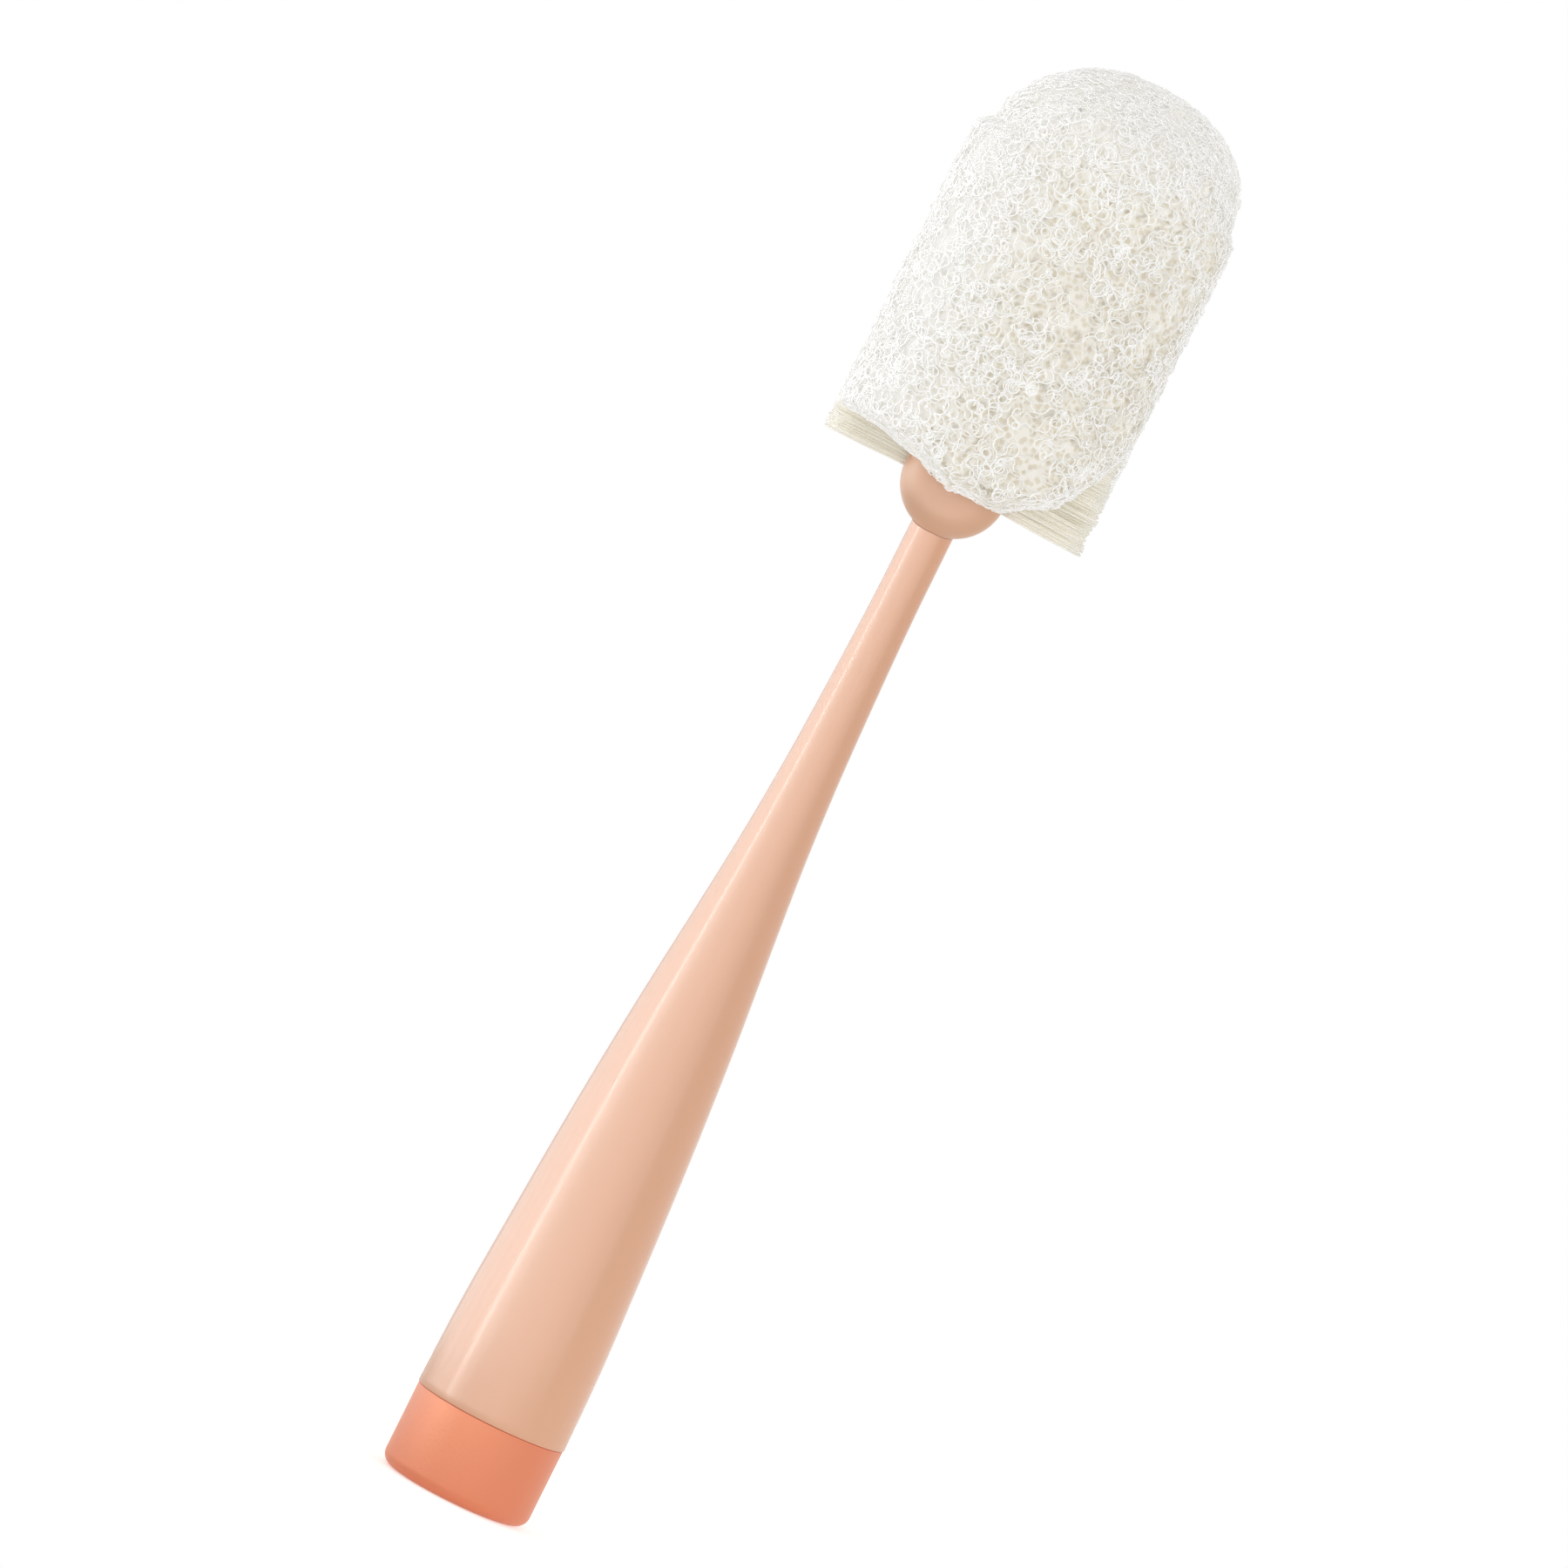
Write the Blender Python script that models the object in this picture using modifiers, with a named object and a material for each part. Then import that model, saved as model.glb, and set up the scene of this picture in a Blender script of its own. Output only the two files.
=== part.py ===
"""Bottle brush that stands on its cap.

A hollow turned grip with a slender neck is closed by a push-in base cap. The scrubbing head pulls off the
neck. It is a moulded core with a flat spine, two strips of straight bristles in the spine's edges, and a
thick pad of curly mesh that is folded over the spine and held by two rivets.
Units are metres, +Z is up, and the origin is the middle of the flat base.
"""

import math

import bmesh
import bpy

# Fits and rounding, shared by all pieces
CLEARANCE = 0.0003  # between neighbouring pieces
CUT_OVERRUN = 0.0030  # how far a cutter runs past what it cuts
MERGE_DISTANCE = 0.000001
TURN_STEPS = 36
SMALL_TURN_STEPS = 16
ROUND_STEPS = 4  # segments of a quarter round
SHARP_ANGLE = math.radians(40)

# Grip: a moulded shell, wide at the foot and drawn out to a solid neck
GRIP_RADIUS = 0.0149
GRIP_LENGTH = 0.1807  # foot to the lowest point of the head's hub
GRIP_WALL = 0.0026
GRIP_RIM_WALL = 0.0022  # round the mouth that takes the cap
GRIP_FOOT_ROUND = 0.0005
GRIP_ROWS = 20
NECK_RADIUS = 0.00415
# Height along the grip, and how much of the step from neck radius to grip radius is there
GRIP_OUTLINE_SHARES = (
    (0.0, 1.0),
    (0.09, 0.96),
    (0.18, 0.875),
    (0.31, 0.735),
    (0.44, 0.555),
    (0.56, 0.35),
    (0.64, 0.222),
    (0.72, 0.127),
    (0.80, 0.066),
    (0.91, 0.01),
    (1.0, 0.0),
)
BORE_END_SHARE = 0.70  # of the grip's length, where the hollow closes
BORE_ROWS = 11

# Base cap: a cup with a flat foot and a plug that goes up into the grip
CAP_STEP = 0.0002  # the cap is this much smaller than the grip all round
CAP_HEIGHT = 0.0159
CAP_FOOT_ROUND = 0.0024
CAP_EDGE_ROUND = 0.0005
CAP_FLOOR = 0.0024
PLUG_LENGTH = 0.0110
PLUG_WALL = 0.0018  # behind the seal's groove
PLUG_LEAD_IN = 0.0008
SEAL_SECTION = 0.0017  # thickness of the seal ring
SEAL_SIDES = 10

# Spigot on top of the neck, with two flats that keep the head from turning
SPIGOT_RADIUS = 0.0030
SPIGOT_FLAT = 0.0023  # axis to each flat
SPIGOT_LENGTH = 0.0160
SPIGOT_LEAD_IN = 0.0006
SPIGOT_ROOT = 0.0040  # how deep the spigot is rooted in the neck

# Head core: a round hub that sits on the neck, and a flat spine above it
HUB_RADIUS = 0.0100
HUB_HALF_DEPTH = 0.0075
HUB_ROUND = 0.0050
SPINE_HALF_WIDTH = 0.0090
SPINE_HALF_DEPTH = 0.0049
SPINE_WINDOW_HALF_WIDTH = 0.0042
SPINE_WINDOW_SHARES = ((0.22, 0.47), (0.53, 0.78))  # bottom and top, of the spine above the hub
CHANNEL_DEPTH = 0.0020  # of the groove in each edge of the spine

# Bristle strips
BAND_DROP = 0.0014  # the band's lower edge lies this far under the hub's centre
BAND_HEIGHT = 0.0624
BAND_HALF_WIDTH = 0.0265  # axis to the bristles' tips
STRIP_HALF_DEPTH = 0.0023
STRIP_THICKNESS = 0.0020
BRISTLE_ROWS = 38
BRISTLE_COLUMNS = 4
BRISTLE_SHARE = 0.52  # of its cell across the strip
BRISTLE_FAN_SHARE = 2.2  # spread at the tips over spread at the roots
BRISTLE_UNEVEN = 0.0004  # how much shorter some bristles are
UNEVEN_ALONG, UNEVEN_ACROSS = 2.3, 1.7  # step of the wave of lengths, in radians from cell to cell

# Mesh pad, folded over the spine. Each lobe is cut square at one lower corner and round at the other.
LOBE_HALF_WIDTH = 0.0262
PAD_HALF_DEPTH = 0.0230
PAD_DROP = 0.0003  # the lobes reach this far below the band's lower edge
PAD_HEIGHT = 0.0848
PAD_SQUARENESS = 2.4  # power of the rounded section, 2 is an ellipse
DOME_HALF_WIDTH = 0.0242
DOME_HEIGHT = 0.0229
SHOULDER_HEIGHT = 0.0022  # over which the lobes' width goes over into the dome's
DOME_SQUARENESS = 2.3
DOME_ROWS = 7
HEM_RISE = 0.0185  # from the hem's lowest point to its end at the round corner
HEM_TRIM = 0.0010  # least that is cut off the pad's raw lower edge
HEM_ROUND = 0.0060  # round of the lobes' lower edge, seen from the side
# Across the front lobe from left to right, and how much of the hem's rise is there
HEM_OUTLINE_SHARES = (
    (-1.0, 0.24),
    (-0.92, 0.18),
    (-0.66, 0.17),
    (-0.40, 0.13),
    (-0.22, 0.07),
    (0.0, 0.0),
    (0.27, 0.0),
    (0.38, 0.04),
    (0.54, 0.18),
    (0.70, 0.27),
    (0.80, 0.40),
    (0.90, 0.65),
    (1.0, 1.0),
)
PAD_SIDES = 36

# Rivets through the pad and the spine
RIVET_RADIUS = 0.0013
RIVET_HEAD_RADIUS = 0.0035
RIVET_HEAD_THICKNESS = 0.0014
RIVET_REACH = 0.0070  # how far each head lies inside its lobe
RIVET_SHARES = (0.12, 0.88)  # height, of the spine above the hub

# Places that follow from the sizes
CAP_RADIUS = GRIP_RADIUS - CAP_STEP
GRIP_FOOT = CAP_HEIGHT + CLEARANCE
SOCKET_RADIUS = GRIP_RADIUS - GRIP_RIM_WALL
PLUG_RADIUS = SOCKET_RADIUS - CLEARANCE
PLUG_TOP = CAP_HEIGHT + PLUG_LENGTH
GROOVE_RADIUS = SOCKET_RADIUS - SEAL_SECTION - 2 * CLEARANCE
GROOVE_HEIGHT = SEAL_SECTION + 2 * CLEARANCE
SEAL_HEIGHT = CAP_HEIGHT + PLUG_LENGTH / 2
NECK_END = GRIP_FOOT + GRIP_LENGTH
HUB_CENTRE = NECK_END + HUB_RADIUS
HUB_TOP = HUB_CENTRE + HUB_RADIUS
BAND_BOTTOM = HUB_CENTRE - BAND_DROP
BAND_TOP = BAND_BOTTOM + BAND_HEIGHT
CHANNEL_BOTTOM = BAND_BOTTOM - CLEARANCE
SPINE_SHOULDER = BAND_TOP + CLEARANCE
CHANNEL_FLOOR = SPINE_HALF_WIDTH - CHANNEL_DEPTH
STRIP_BACK = CHANNEL_FLOOR + CLEARANCE
PAD_GAP = SPINE_HALF_DEPTH + CLEARANCE
PAD_BOTTOM = BAND_BOTTOM - PAD_DROP
PAD_TOP = PAD_BOTTOM + PAD_HEIGHT
DOME_FOOT = PAD_TOP - DOME_HEIGHT
RIVET_HALF_LENGTH = PAD_GAP + RIVET_REACH


def new_collection(name):
    collection = bpy.data.collections.new(name)
    bpy.context.scene.collection.children.link(collection)
    return collection


def new_object(name, mesh, collection):
    made = bpy.data.objects.new(name, mesh)
    collection.objects.link(made)
    return made


def as_cutter(obj):
    obj.hide_render = True
    obj.display_type = "WIRE"
    return obj


def paint(obj, colour, roughness):
    material = bpy.data.materials.new(obj.name + "_finish")
    material.use_nodes = True
    shader = material.node_tree.nodes["Principled BSDF"]
    shader.inputs["Base Color"].default_value = (*colour, 1.0)
    shader.inputs["Roughness"].default_value = roughness
    shader.inputs["Metallic"].default_value = 0.0
    obj.data.materials.clear()
    obj.data.materials.append(material)


def cut(target, tool, operation="DIFFERENCE"):
    """Cuts target by tool, or joins them, with a Boolean modifier."""
    modifier = target.modifiers.new(operation.lower() + "_" + tool.name, "BOOLEAN")
    modifier.operation = operation
    modifier.solver = "EXACT"
    modifier.object = tool


def arc(centre, radius, start, end, steps=ROUND_STEPS):
    """Points along an arc from start to end degrees, counted from outwards towards up."""
    points = []
    for step in range(steps + 1):
        angle = math.radians(start + (end - start) * step / steps)
        points.append((centre[0] + radius * math.cos(angle), centre[1] + radius * math.sin(angle)))
    return points


def turned(name, outline, collection, steps=TURN_STEPS, closed=False):
    """Turns an outline of (radius, height) points round Z. The outline runs down the outer side."""
    mesh = bpy.data.meshes.new(name)
    edges = [(i, i + 1) for i in range(len(outline) - 1)]
    if closed:
        edges.append((len(outline) - 1, 0))
    mesh.from_pydata([(radius, 0.0, height) for radius, height in outline], edges, [])
    obj = new_object(name, mesh, collection)
    screw = obj.modifiers.new("turn", "SCREW")
    screw.axis = "Z"
    screw.angle = math.tau
    screw.steps = screw.render_steps = steps
    screw.use_merge_vertices = True
    screw.merge_threshold = MERGE_DISTANCE
    return obj


def slab(name, outline, half_length, collection):
    """Pushes a closed outline of (y, z) points out along X to both sides."""
    curve = bpy.data.curves.new(name, "CURVE")
    curve.dimensions = "2D"
    curve.fill_mode = "BOTH"
    curve.extrude = half_length
    spline = curve.splines.new("POLY")
    spline.points.add(len(outline) - 1)
    for point, (y, z) in zip(spline.points, outline):
        point.co = (y, z, 0.0, 1.0)
    spline.use_cyclic_u = True
    drawn = new_object(name + "_outline", curve, collection)
    depsgraph = bpy.context.evaluated_depsgraph_get()
    mesh = bpy.data.meshes.new_from_object(drawn.evaluated_get(depsgraph))
    bpy.data.objects.remove(drawn)
    welded = bmesh.new()
    welded.from_mesh(mesh)
    bmesh.ops.remove_doubles(welded, verts=welded.verts, dist=MERGE_DISTANCE)
    for vertex in welded.verts:
        vertex.co = (vertex.co.z, vertex.co.x, vertex.co.y)
    welded.to_mesh(mesh)
    welded.free()
    mesh.name = name
    return new_object(name, mesh, collection)


def block(name, low, high, collection):
    """A box between two corners."""
    box = bmesh.new()
    bmesh.ops.create_cube(box, size=1.0)
    size = [b - a for a, b in zip(low, high)]
    middle = [(a + b) / 2 for a, b in zip(low, high)]
    bmesh.ops.scale(box, vec=size, verts=box.verts)
    bmesh.ops.translate(box, vec=middle, verts=box.verts)
    mesh = bpy.data.meshes.new(name)
    box.to_mesh(mesh)
    box.free()
    return new_object(name, mesh, collection)


def grip_radius(share):
    """Outer radius at a share of the grip's length: a smooth curve through the outline's shares."""
    table = GRIP_OUTLINE_SHARES
    share = min(max(share, 0.0), 1.0)
    i = max(k for k in range(len(table) - 1) if table[k][0] <= share)

    def slope(k):
        before, after = table[max(k - 1, 0)], table[min(k + 1, len(table) - 1)]
        return (after[1] - before[1]) / (after[0] - before[0])

    (x0, y0), (x1, y1) = table[i], table[i + 1]
    span = x1 - x0
    t = (share - x0) / span
    value = (
        (2 * t**3 - 3 * t**2 + 1) * y0
        + (t**3 - 2 * t**2 + t) * span * slope(i)
        + (3 * t**2 - 2 * t**3) * y1
        + (t**3 - t**2) * span * slope(i + 1)
    )
    return NECK_RADIUS + (GRIP_RADIUS - NECK_RADIUS) * value


def make_grip(parts, cutters):
    """Tapered shell: neck closed at the top, hollow from the mouth up to where the neck grows thin."""
    # The neck's end starts higher, so that the hub's rounded underside cuts a seat into it
    neck_reach = HUB_RADIUS - math.sqrt(HUB_RADIUS**2 - NECK_RADIUS**2) + CLEARANCE
    outline = [(0.0, NECK_END + neck_reach), (NECK_RADIUS, NECK_END + neck_reach)]
    for row in range(GRIP_ROWS):
        share = 1.0 - row / GRIP_ROWS
        outline.append((grip_radius(share), GRIP_FOOT + share * GRIP_LENGTH))
    outline += arc((GRIP_RADIUS - GRIP_FOOT_ROUND, GRIP_FOOT + GRIP_FOOT_ROUND), GRIP_FOOT_ROUND, 0, -90, 3)
    socket_top = PLUG_TOP + CLEARANCE
    outline += [(SOCKET_RADIUS, GRIP_FOOT), (SOCKET_RADIUS, socket_top)]
    first = (socket_top - GRIP_FOOT) / GRIP_LENGTH
    for row in range(BORE_ROWS + 1):
        share = first + (BORE_END_SHARE - first) * row / BORE_ROWS
        outline.append((grip_radius(share) - GRIP_WALL, GRIP_FOOT + share * GRIP_LENGTH))
    end_radius, end_height = outline[-1]
    outline += arc((0.0, end_height), end_radius, 0, 90)[1:-1] + [(0.0, end_height + end_radius)]
    grip = turned("grip_shell", outline, parts)
    paint(grip, (0.82, 0.55, 0.41), 0.28)

    seat = as_cutter(turned("neck_seat_cutter", hub_outline(CLEARANCE), cutters))
    seat.rotation_euler = (math.pi / 2, 0.0, 0.0)
    seat.location = (0.0, 0.0, HUB_CENTRE)
    cut(grip, seat)
    cut(grip, make_spigot("neck_spigot", 0.0, NECK_END - SPIGOT_ROOT, cutters), "UNION")
    return grip


def make_spigot(name, extra, bottom, cutters):
    """Round rod with two flats, grown by extra all round: the spigot, or the cutter of its socket."""
    radius = SPIGOT_RADIUS + extra
    top = NECK_END + SPIGOT_LENGTH + extra
    outline = [
        (0.0, top),
        (radius - SPIGOT_LEAD_IN, top),
        (radius, top - SPIGOT_LEAD_IN),
        (radius, bottom),
        (0.0, bottom),
    ]
    rod = as_cutter(turned(name, outline, cutters))
    for side, word in ((-1, "front"), (1, "back")):
        flat = sorted((side * (SPIGOT_FLAT + extra), side * (radius + CUT_OVERRUN)))
        low = (-radius - CUT_OVERRUN, flat[0], bottom - CUT_OVERRUN)
        high = (radius + CUT_OVERRUN, flat[1], top + CUT_OVERRUN)
        cut(rod, as_cutter(block(f"{name}_flat_{word}", low, high, cutters)))
    return rod


def make_cap(parts):
    """Cup with a rounded foot. Its plug has a groove for the seal ring."""
    cavity = GROOVE_RADIUS - PLUG_WALL
    groove_top = SEAL_HEIGHT + GROOVE_HEIGHT / 2
    groove_bottom = SEAL_HEIGHT - GROOVE_HEIGHT / 2
    outline = [(0.0, CAP_FLOOR), (cavity, CAP_FLOOR), (cavity, PLUG_TOP)]
    outline += [(PLUG_RADIUS - PLUG_LEAD_IN, PLUG_TOP), (PLUG_RADIUS, PLUG_TOP - PLUG_LEAD_IN)]
    outline += [(PLUG_RADIUS, groove_top), (GROOVE_RADIUS, groove_top)]
    outline += [(GROOVE_RADIUS, groove_bottom), (PLUG_RADIUS, groove_bottom), (PLUG_RADIUS, CAP_HEIGHT)]
    outline += arc((CAP_RADIUS - CAP_EDGE_ROUND, CAP_HEIGHT - CAP_EDGE_ROUND), CAP_EDGE_ROUND, 90, 0, 3)
    outline += arc((CAP_RADIUS - CAP_FOOT_ROUND, CAP_FOOT_ROUND), CAP_FOOT_ROUND, 0, -90, 5)
    outline.append((0.0, 0.0))
    cap = turned("base_cap", outline, parts)
    paint(cap, (0.80, 0.28, 0.14), 0.45)


def make_seal(parts):
    """Rubber ring in the plug's groove."""
    middle = GROOVE_RADIUS + CLEARANCE + SEAL_SECTION / 2
    outline = arc((middle, SEAL_HEIGHT), SEAL_SECTION / 2, 90, -270, SEAL_SIDES)[:-1]
    seal = turned("cap_seal_ring", outline, parts, closed=True)
    paint(seal, (0.72, 0.66, 0.60), 0.6)


def hub_outline(extra):
    """Outline of the hub about its own axis: a thick disc with large round edges, grown by extra."""
    radius, depth = HUB_RADIUS + extra, HUB_HALF_DEPTH + extra
    edge = HUB_ROUND + extra
    outline = [(0.0, depth)]
    outline += arc((radius - edge, depth - edge), edge, 90, 0)
    outline += arc((radius - edge, edge - depth), edge, 0, -90)
    outline.append((0.0, -depth))
    return outline


def spine_outline(half_depth, bottom):
    """Side view of the spine, or of the space for it: straight sides and a round nose."""
    nose = arc((0.0, SPINE_SHOULDER), half_depth, 0, 180, 2 * ROUND_STEPS)
    return [(-half_depth, bottom), (half_depth, bottom)] + nose


def height_on_spine(share):
    return HUB_TOP + share * (SPINE_SHOULDER - HUB_TOP)


def make_core(parts, cutters, rivet_spaces):
    """Hub and spine in one moulding, with a blind socket, two edge channels and two windows."""
    core = turned("head_core", hub_outline(0.0), parts)
    core.rotation_euler = (math.pi / 2, 0.0, 0.0)
    core.location = (0.0, 0.0, HUB_CENTRE)
    paint(core, (0.66, 0.38, 0.26), 0.5)
    spine = slab("spine", spine_outline(SPINE_HALF_DEPTH, HUB_CENTRE), SPINE_HALF_WIDTH, cutters)
    cut(core, as_cutter(spine), "UNION")
    cut(core, make_spigot("socket_cutter", CLEARANCE, NECK_END - CUT_OVERRUN, cutters))
    channel_half_depth = STRIP_HALF_DEPTH + CLEARANCE
    channel_mouth = max(SPINE_HALF_WIDTH, HUB_RADIUS) + CUT_OVERRUN
    for side, word in ((-1, "left"), (1, "right")):
        span = sorted((side * CHANNEL_FLOOR, side * channel_mouth))
        low = (span[0], -channel_half_depth, CHANNEL_BOTTOM)
        high = (span[1], channel_half_depth, SPINE_SHOULDER)
        cut(core, as_cutter(block(f"channel_cutter_{word}", low, high, cutters)))
    for number, (bottom, top) in enumerate(SPINE_WINDOW_SHARES, 1):
        reach = SPINE_HALF_DEPTH + CUT_OVERRUN
        low = (-SPINE_WINDOW_HALF_WIDTH, -reach, height_on_spine(bottom))
        high = (SPINE_WINDOW_HALF_WIDTH, reach, height_on_spine(top))
        cut(core, as_cutter(block(f"window_cutter_{number}", low, high, cutters)))
    for space in rivet_spaces:
        cut(core, space)
    return core


def bristle_strip_mesh():
    """Backing strip with its outer face divided into cells, and a four-sided bristle drawn out of each."""
    strip = bmesh.new()
    bmesh.ops.create_grid(strip, x_segments=BRISTLE_COLUMNS, y_segments=BRISTLE_ROWS, size=0.5)
    width, height = 2 * STRIP_HALF_DEPTH, BAND_HEIGHT
    for vertex in strip.verts:
        vertex.co = (STRIP_BACK, vertex.co.x * width, BAND_BOTTOM + (vertex.co.y + 0.5) * height)
    back = list(strip.faces)
    front = bmesh.ops.extrude_face_region(strip, geom=back, use_keep_orig=True)["geom"]
    moved = [item for item in front if isinstance(item, bmesh.types.BMVert)]
    bmesh.ops.translate(strip, vec=(STRIP_THICKNESS, 0.0, 0.0), verts=moved)
    cells = [item for item in front if isinstance(item, bmesh.types.BMFace)]
    bmesh.ops.dissolve_faces(strip, faces=back)

    cell_width, cell_height = width / BRISTLE_COLUMNS, height / BRISTLE_ROWS
    margin = (1 - BRISTLE_SHARE) / 2 * min(cell_width, cell_height)
    bmesh.ops.inset_individual(strip, faces=cells, thickness=margin, use_even_offset=True)
    drawn = bmesh.ops.extrude_discrete_faces(strip, faces=cells)["faces"]
    for face in drawn:
        middle = face.calc_center_median()
        wave = math.sin(middle.z / cell_height * UNEVEN_ALONG + middle.y / cell_width * UNEVEN_ACROSS)
        tip = BAND_HALF_WIDTH - BRISTLE_UNEVEN * (1 - wave) / 2
        for vertex in face.verts:
            y = vertex.co.y + middle.y * (BRISTLE_FAN_SHARE - 1)
            vertex.co = (tip, y, vertex.co.z)
    bmesh.ops.recalc_face_normals(strip, faces=strip.faces)
    mesh = bpy.data.meshes.new("bristle_strip")
    strip.to_mesh(mesh)
    strip.free()
    return mesh


def make_bristles(parts):
    """One strip for each edge of the spine. The left one is the right one turned half round."""
    for name, turn in (("right_bristles", 0.0), ("left_bristles", math.pi)):
        strip = new_object(name, bristle_strip_mesh(), parts)
        strip.rotation_euler = (0.0, 0.0, turn)
        paint(strip, (0.84, 0.81, 0.66), 0.55)


def dome_share(height):
    """How much of its full width and depth the dome has at a height."""
    u = max(height - DOME_FOOT, 0.0) / DOME_HEIGHT
    return (1 - u**DOME_SQUARENESS) ** (1 / DOME_SQUARENESS)


def pad_rows():
    """Height and half sizes of the pad's sections, from the lobes' raw lower edge to near the top."""
    rows = []
    for step in range(ROUND_STEPS + 1):
        angle = math.pi / 2 * step / ROUND_STEPS
        lift = HEM_ROUND * (1 - math.cos(angle))
        half_depth = PAD_HALF_DEPTH - HEM_ROUND * (1 - math.sin(angle))
        rows.append((PAD_BOTTOM - HEM_TRIM + lift, LOBE_HALF_WIDTH, half_depth))
    rows.append((SPINE_SHOULDER, LOBE_HALF_WIDTH, PAD_HALF_DEPTH * dome_share(SPINE_SHOULDER)))
    first = SPINE_SHOULDER + SHOULDER_HEIGHT
    for step in range(DOME_ROWS):
        height = first + (PAD_TOP - first) * math.sin(math.pi / 2 * step / DOME_ROWS)
        share = dome_share(height)
        rows.append((height, DOME_HALF_WIDTH * share, PAD_HALF_DEPTH * share))
    return rows


def below_hem_outline():
    """Outline, seen from the front, of all that is cut off below the front lobe's hem."""
    hem = [
        (LOBE_HALF_WIDTH * across, PAD_BOTTOM + HEM_RISE * rise) for across, rise in HEM_OUTLINE_SHARES
    ]
    side = LOBE_HALF_WIDTH + CUT_OVERRUN
    below = PAD_BOTTOM - HEM_TRIM - CUT_OVERRUN
    return [(-side, below), (-side, hem[0][1])] + hem + [(side, hem[-1][1]), (side, below)]


def cut_hem(pad, cutters):
    """Cuts the lobes' lower edge. The back lobe's cut is the front one's turned half round."""
    reach = (PAD_HALF_DEPTH + CUT_OVERRUN) / 2
    for side, word in ((-1, "front"), (1, "back")):
        hem = as_cutter(slab(f"hem_cutter_{word}", below_hem_outline(), reach, cutters))
        hem.rotation_euler = (0.0, 0.0, side * math.pi / 2)
        hem.location = (0.0, side * reach, 0.0)
        cut(pad, hem)


def make_pad(parts, cutters, rivet_spaces):
    """Folded pad as one soft block, with the space for spine, bristles and hub cut out of it."""
    pad = bmesh.new()
    previous = None
    for height, half_width, half_depth in pad_rows():
        ring = []
        for side in range(PAD_SIDES):
            angle = math.tau * side / PAD_SIDES
            c, s = math.cos(angle), math.sin(angle)
            power = 2 / PAD_SQUARENESS
            x = half_width * math.copysign(abs(c) ** power, c)
            y = half_depth * math.copysign(abs(s) ** power, s)
            ring.append(pad.verts.new((x, y, height)))
        loop = [pad.edges.new((ring[i - 1], ring[i])) for i in range(PAD_SIDES)]
        if previous:
            bmesh.ops.bridge_loops(pad, edges=previous + loop)
        else:
            bmesh.ops.contextual_create(pad, geom=loop)
        previous = loop
    crown = bmesh.ops.contextual_create(pad, geom=previous)["faces"]
    top = bmesh.ops.poke(pad, faces=crown)["verts"]
    top[0].co.z = PAD_TOP
    bmesh.ops.recalc_face_normals(pad, faces=pad.faces)
    mesh = bpy.data.meshes.new("mesh_pad")
    pad.to_mesh(mesh)
    pad.free()
    obj = new_object("mesh_pad", mesh, parts)
    paint(obj, (0.90, 0.89, 0.83), 0.7)

    gap_outline = spine_outline(PAD_GAP, PAD_BOTTOM - HEM_TRIM - CUT_OVERRUN)
    gap = slab("pad_gap_cutter", gap_outline, BAND_HALF_WIDTH + CUT_OVERRUN, cutters)
    cut(obj, as_cutter(gap))
    cut_hem(obj, cutters)
    hub_space = as_cutter(turned("pad_hub_cutter", hub_outline(CLEARANCE), cutters))
    hub_space.rotation_euler = (math.pi / 2, 0.0, 0.0)
    hub_space.location = (0.0, 0.0, HUB_CENTRE)
    cut(obj, hub_space)
    for space in rivet_spaces:
        cut(obj, space)


def rivet_outline(extra):
    """Shank with a flat head at each end, grown by extra all round."""
    end, shank, head = RIVET_HALF_LENGTH + extra, RIVET_RADIUS + extra, RIVET_HEAD_RADIUS + extra
    under = end - RIVET_HEAD_THICKNESS - 2 * extra
    edge = RIVET_HEAD_THICKNESS / 4
    upper = [(0.0, end), (head - edge, end), (head, end - edge), (head, under), (shank, under)]
    return upper + [(radius, -height) for radius, height in reversed(upper)]


def make_rivets(parts, cutters):
    """Two rivets across the spine. Returns the cutters of the space that each one needs."""
    spaces = []
    for word, share in zip(("lower", "upper"), RIVET_SHARES):
        place = (0.0, 0.0, height_on_spine(share))
        rivet = turned(f"pad_rivet_{word}", rivet_outline(0.0), parts, SMALL_TURN_STEPS)
        paint(rivet, (0.88, 0.87, 0.82), 0.4)
        space = as_cutter(
            turned(f"rivet_space_{word}", rivet_outline(CLEARANCE), cutters, SMALL_TURN_STEPS)
        )
        for piece in (rivet, space):
            piece.rotation_euler = (math.pi / 2, 0.0, 0.0)
            piece.location = place
        spaces.append(space)
    return spaces


def settle(piece):
    """Turns the modifiers into mesh, shaded smooth but for its corners."""
    depsgraph = bpy.context.evaluated_depsgraph_get()
    mesh = bpy.data.meshes.new_from_object(piece.evaluated_get(depsgraph))
    mesh.name = piece.name
    piece.modifiers.clear()
    piece.data = mesh
    mesh.shade_smooth()
    mesh.set_sharp_from_angle(angle=SHARP_ANGLE)


def hang_head_on_slide(parts):
    """Parents the head's pieces to an empty on the axis along which the head pulls off."""
    slide = bpy.data.objects.new("head_slide_axis", None)
    slide.empty_display_type = "SINGLE_ARROW"
    slide.empty_display_size = SPIGOT_LENGTH
    slide.location = (0.0, 0.0, NECK_END)
    parts.objects.link(slide)
    bpy.context.view_layer.update()
    on_handle = {"grip_shell", "base_cap", "cap_seal_ring"}
    for piece in parts.objects:
        if piece.type == "MESH" and piece.name not in on_handle:
            piece.parent = slide
            piece.matrix_parent_inverse = slide.matrix_world.inverted()


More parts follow.
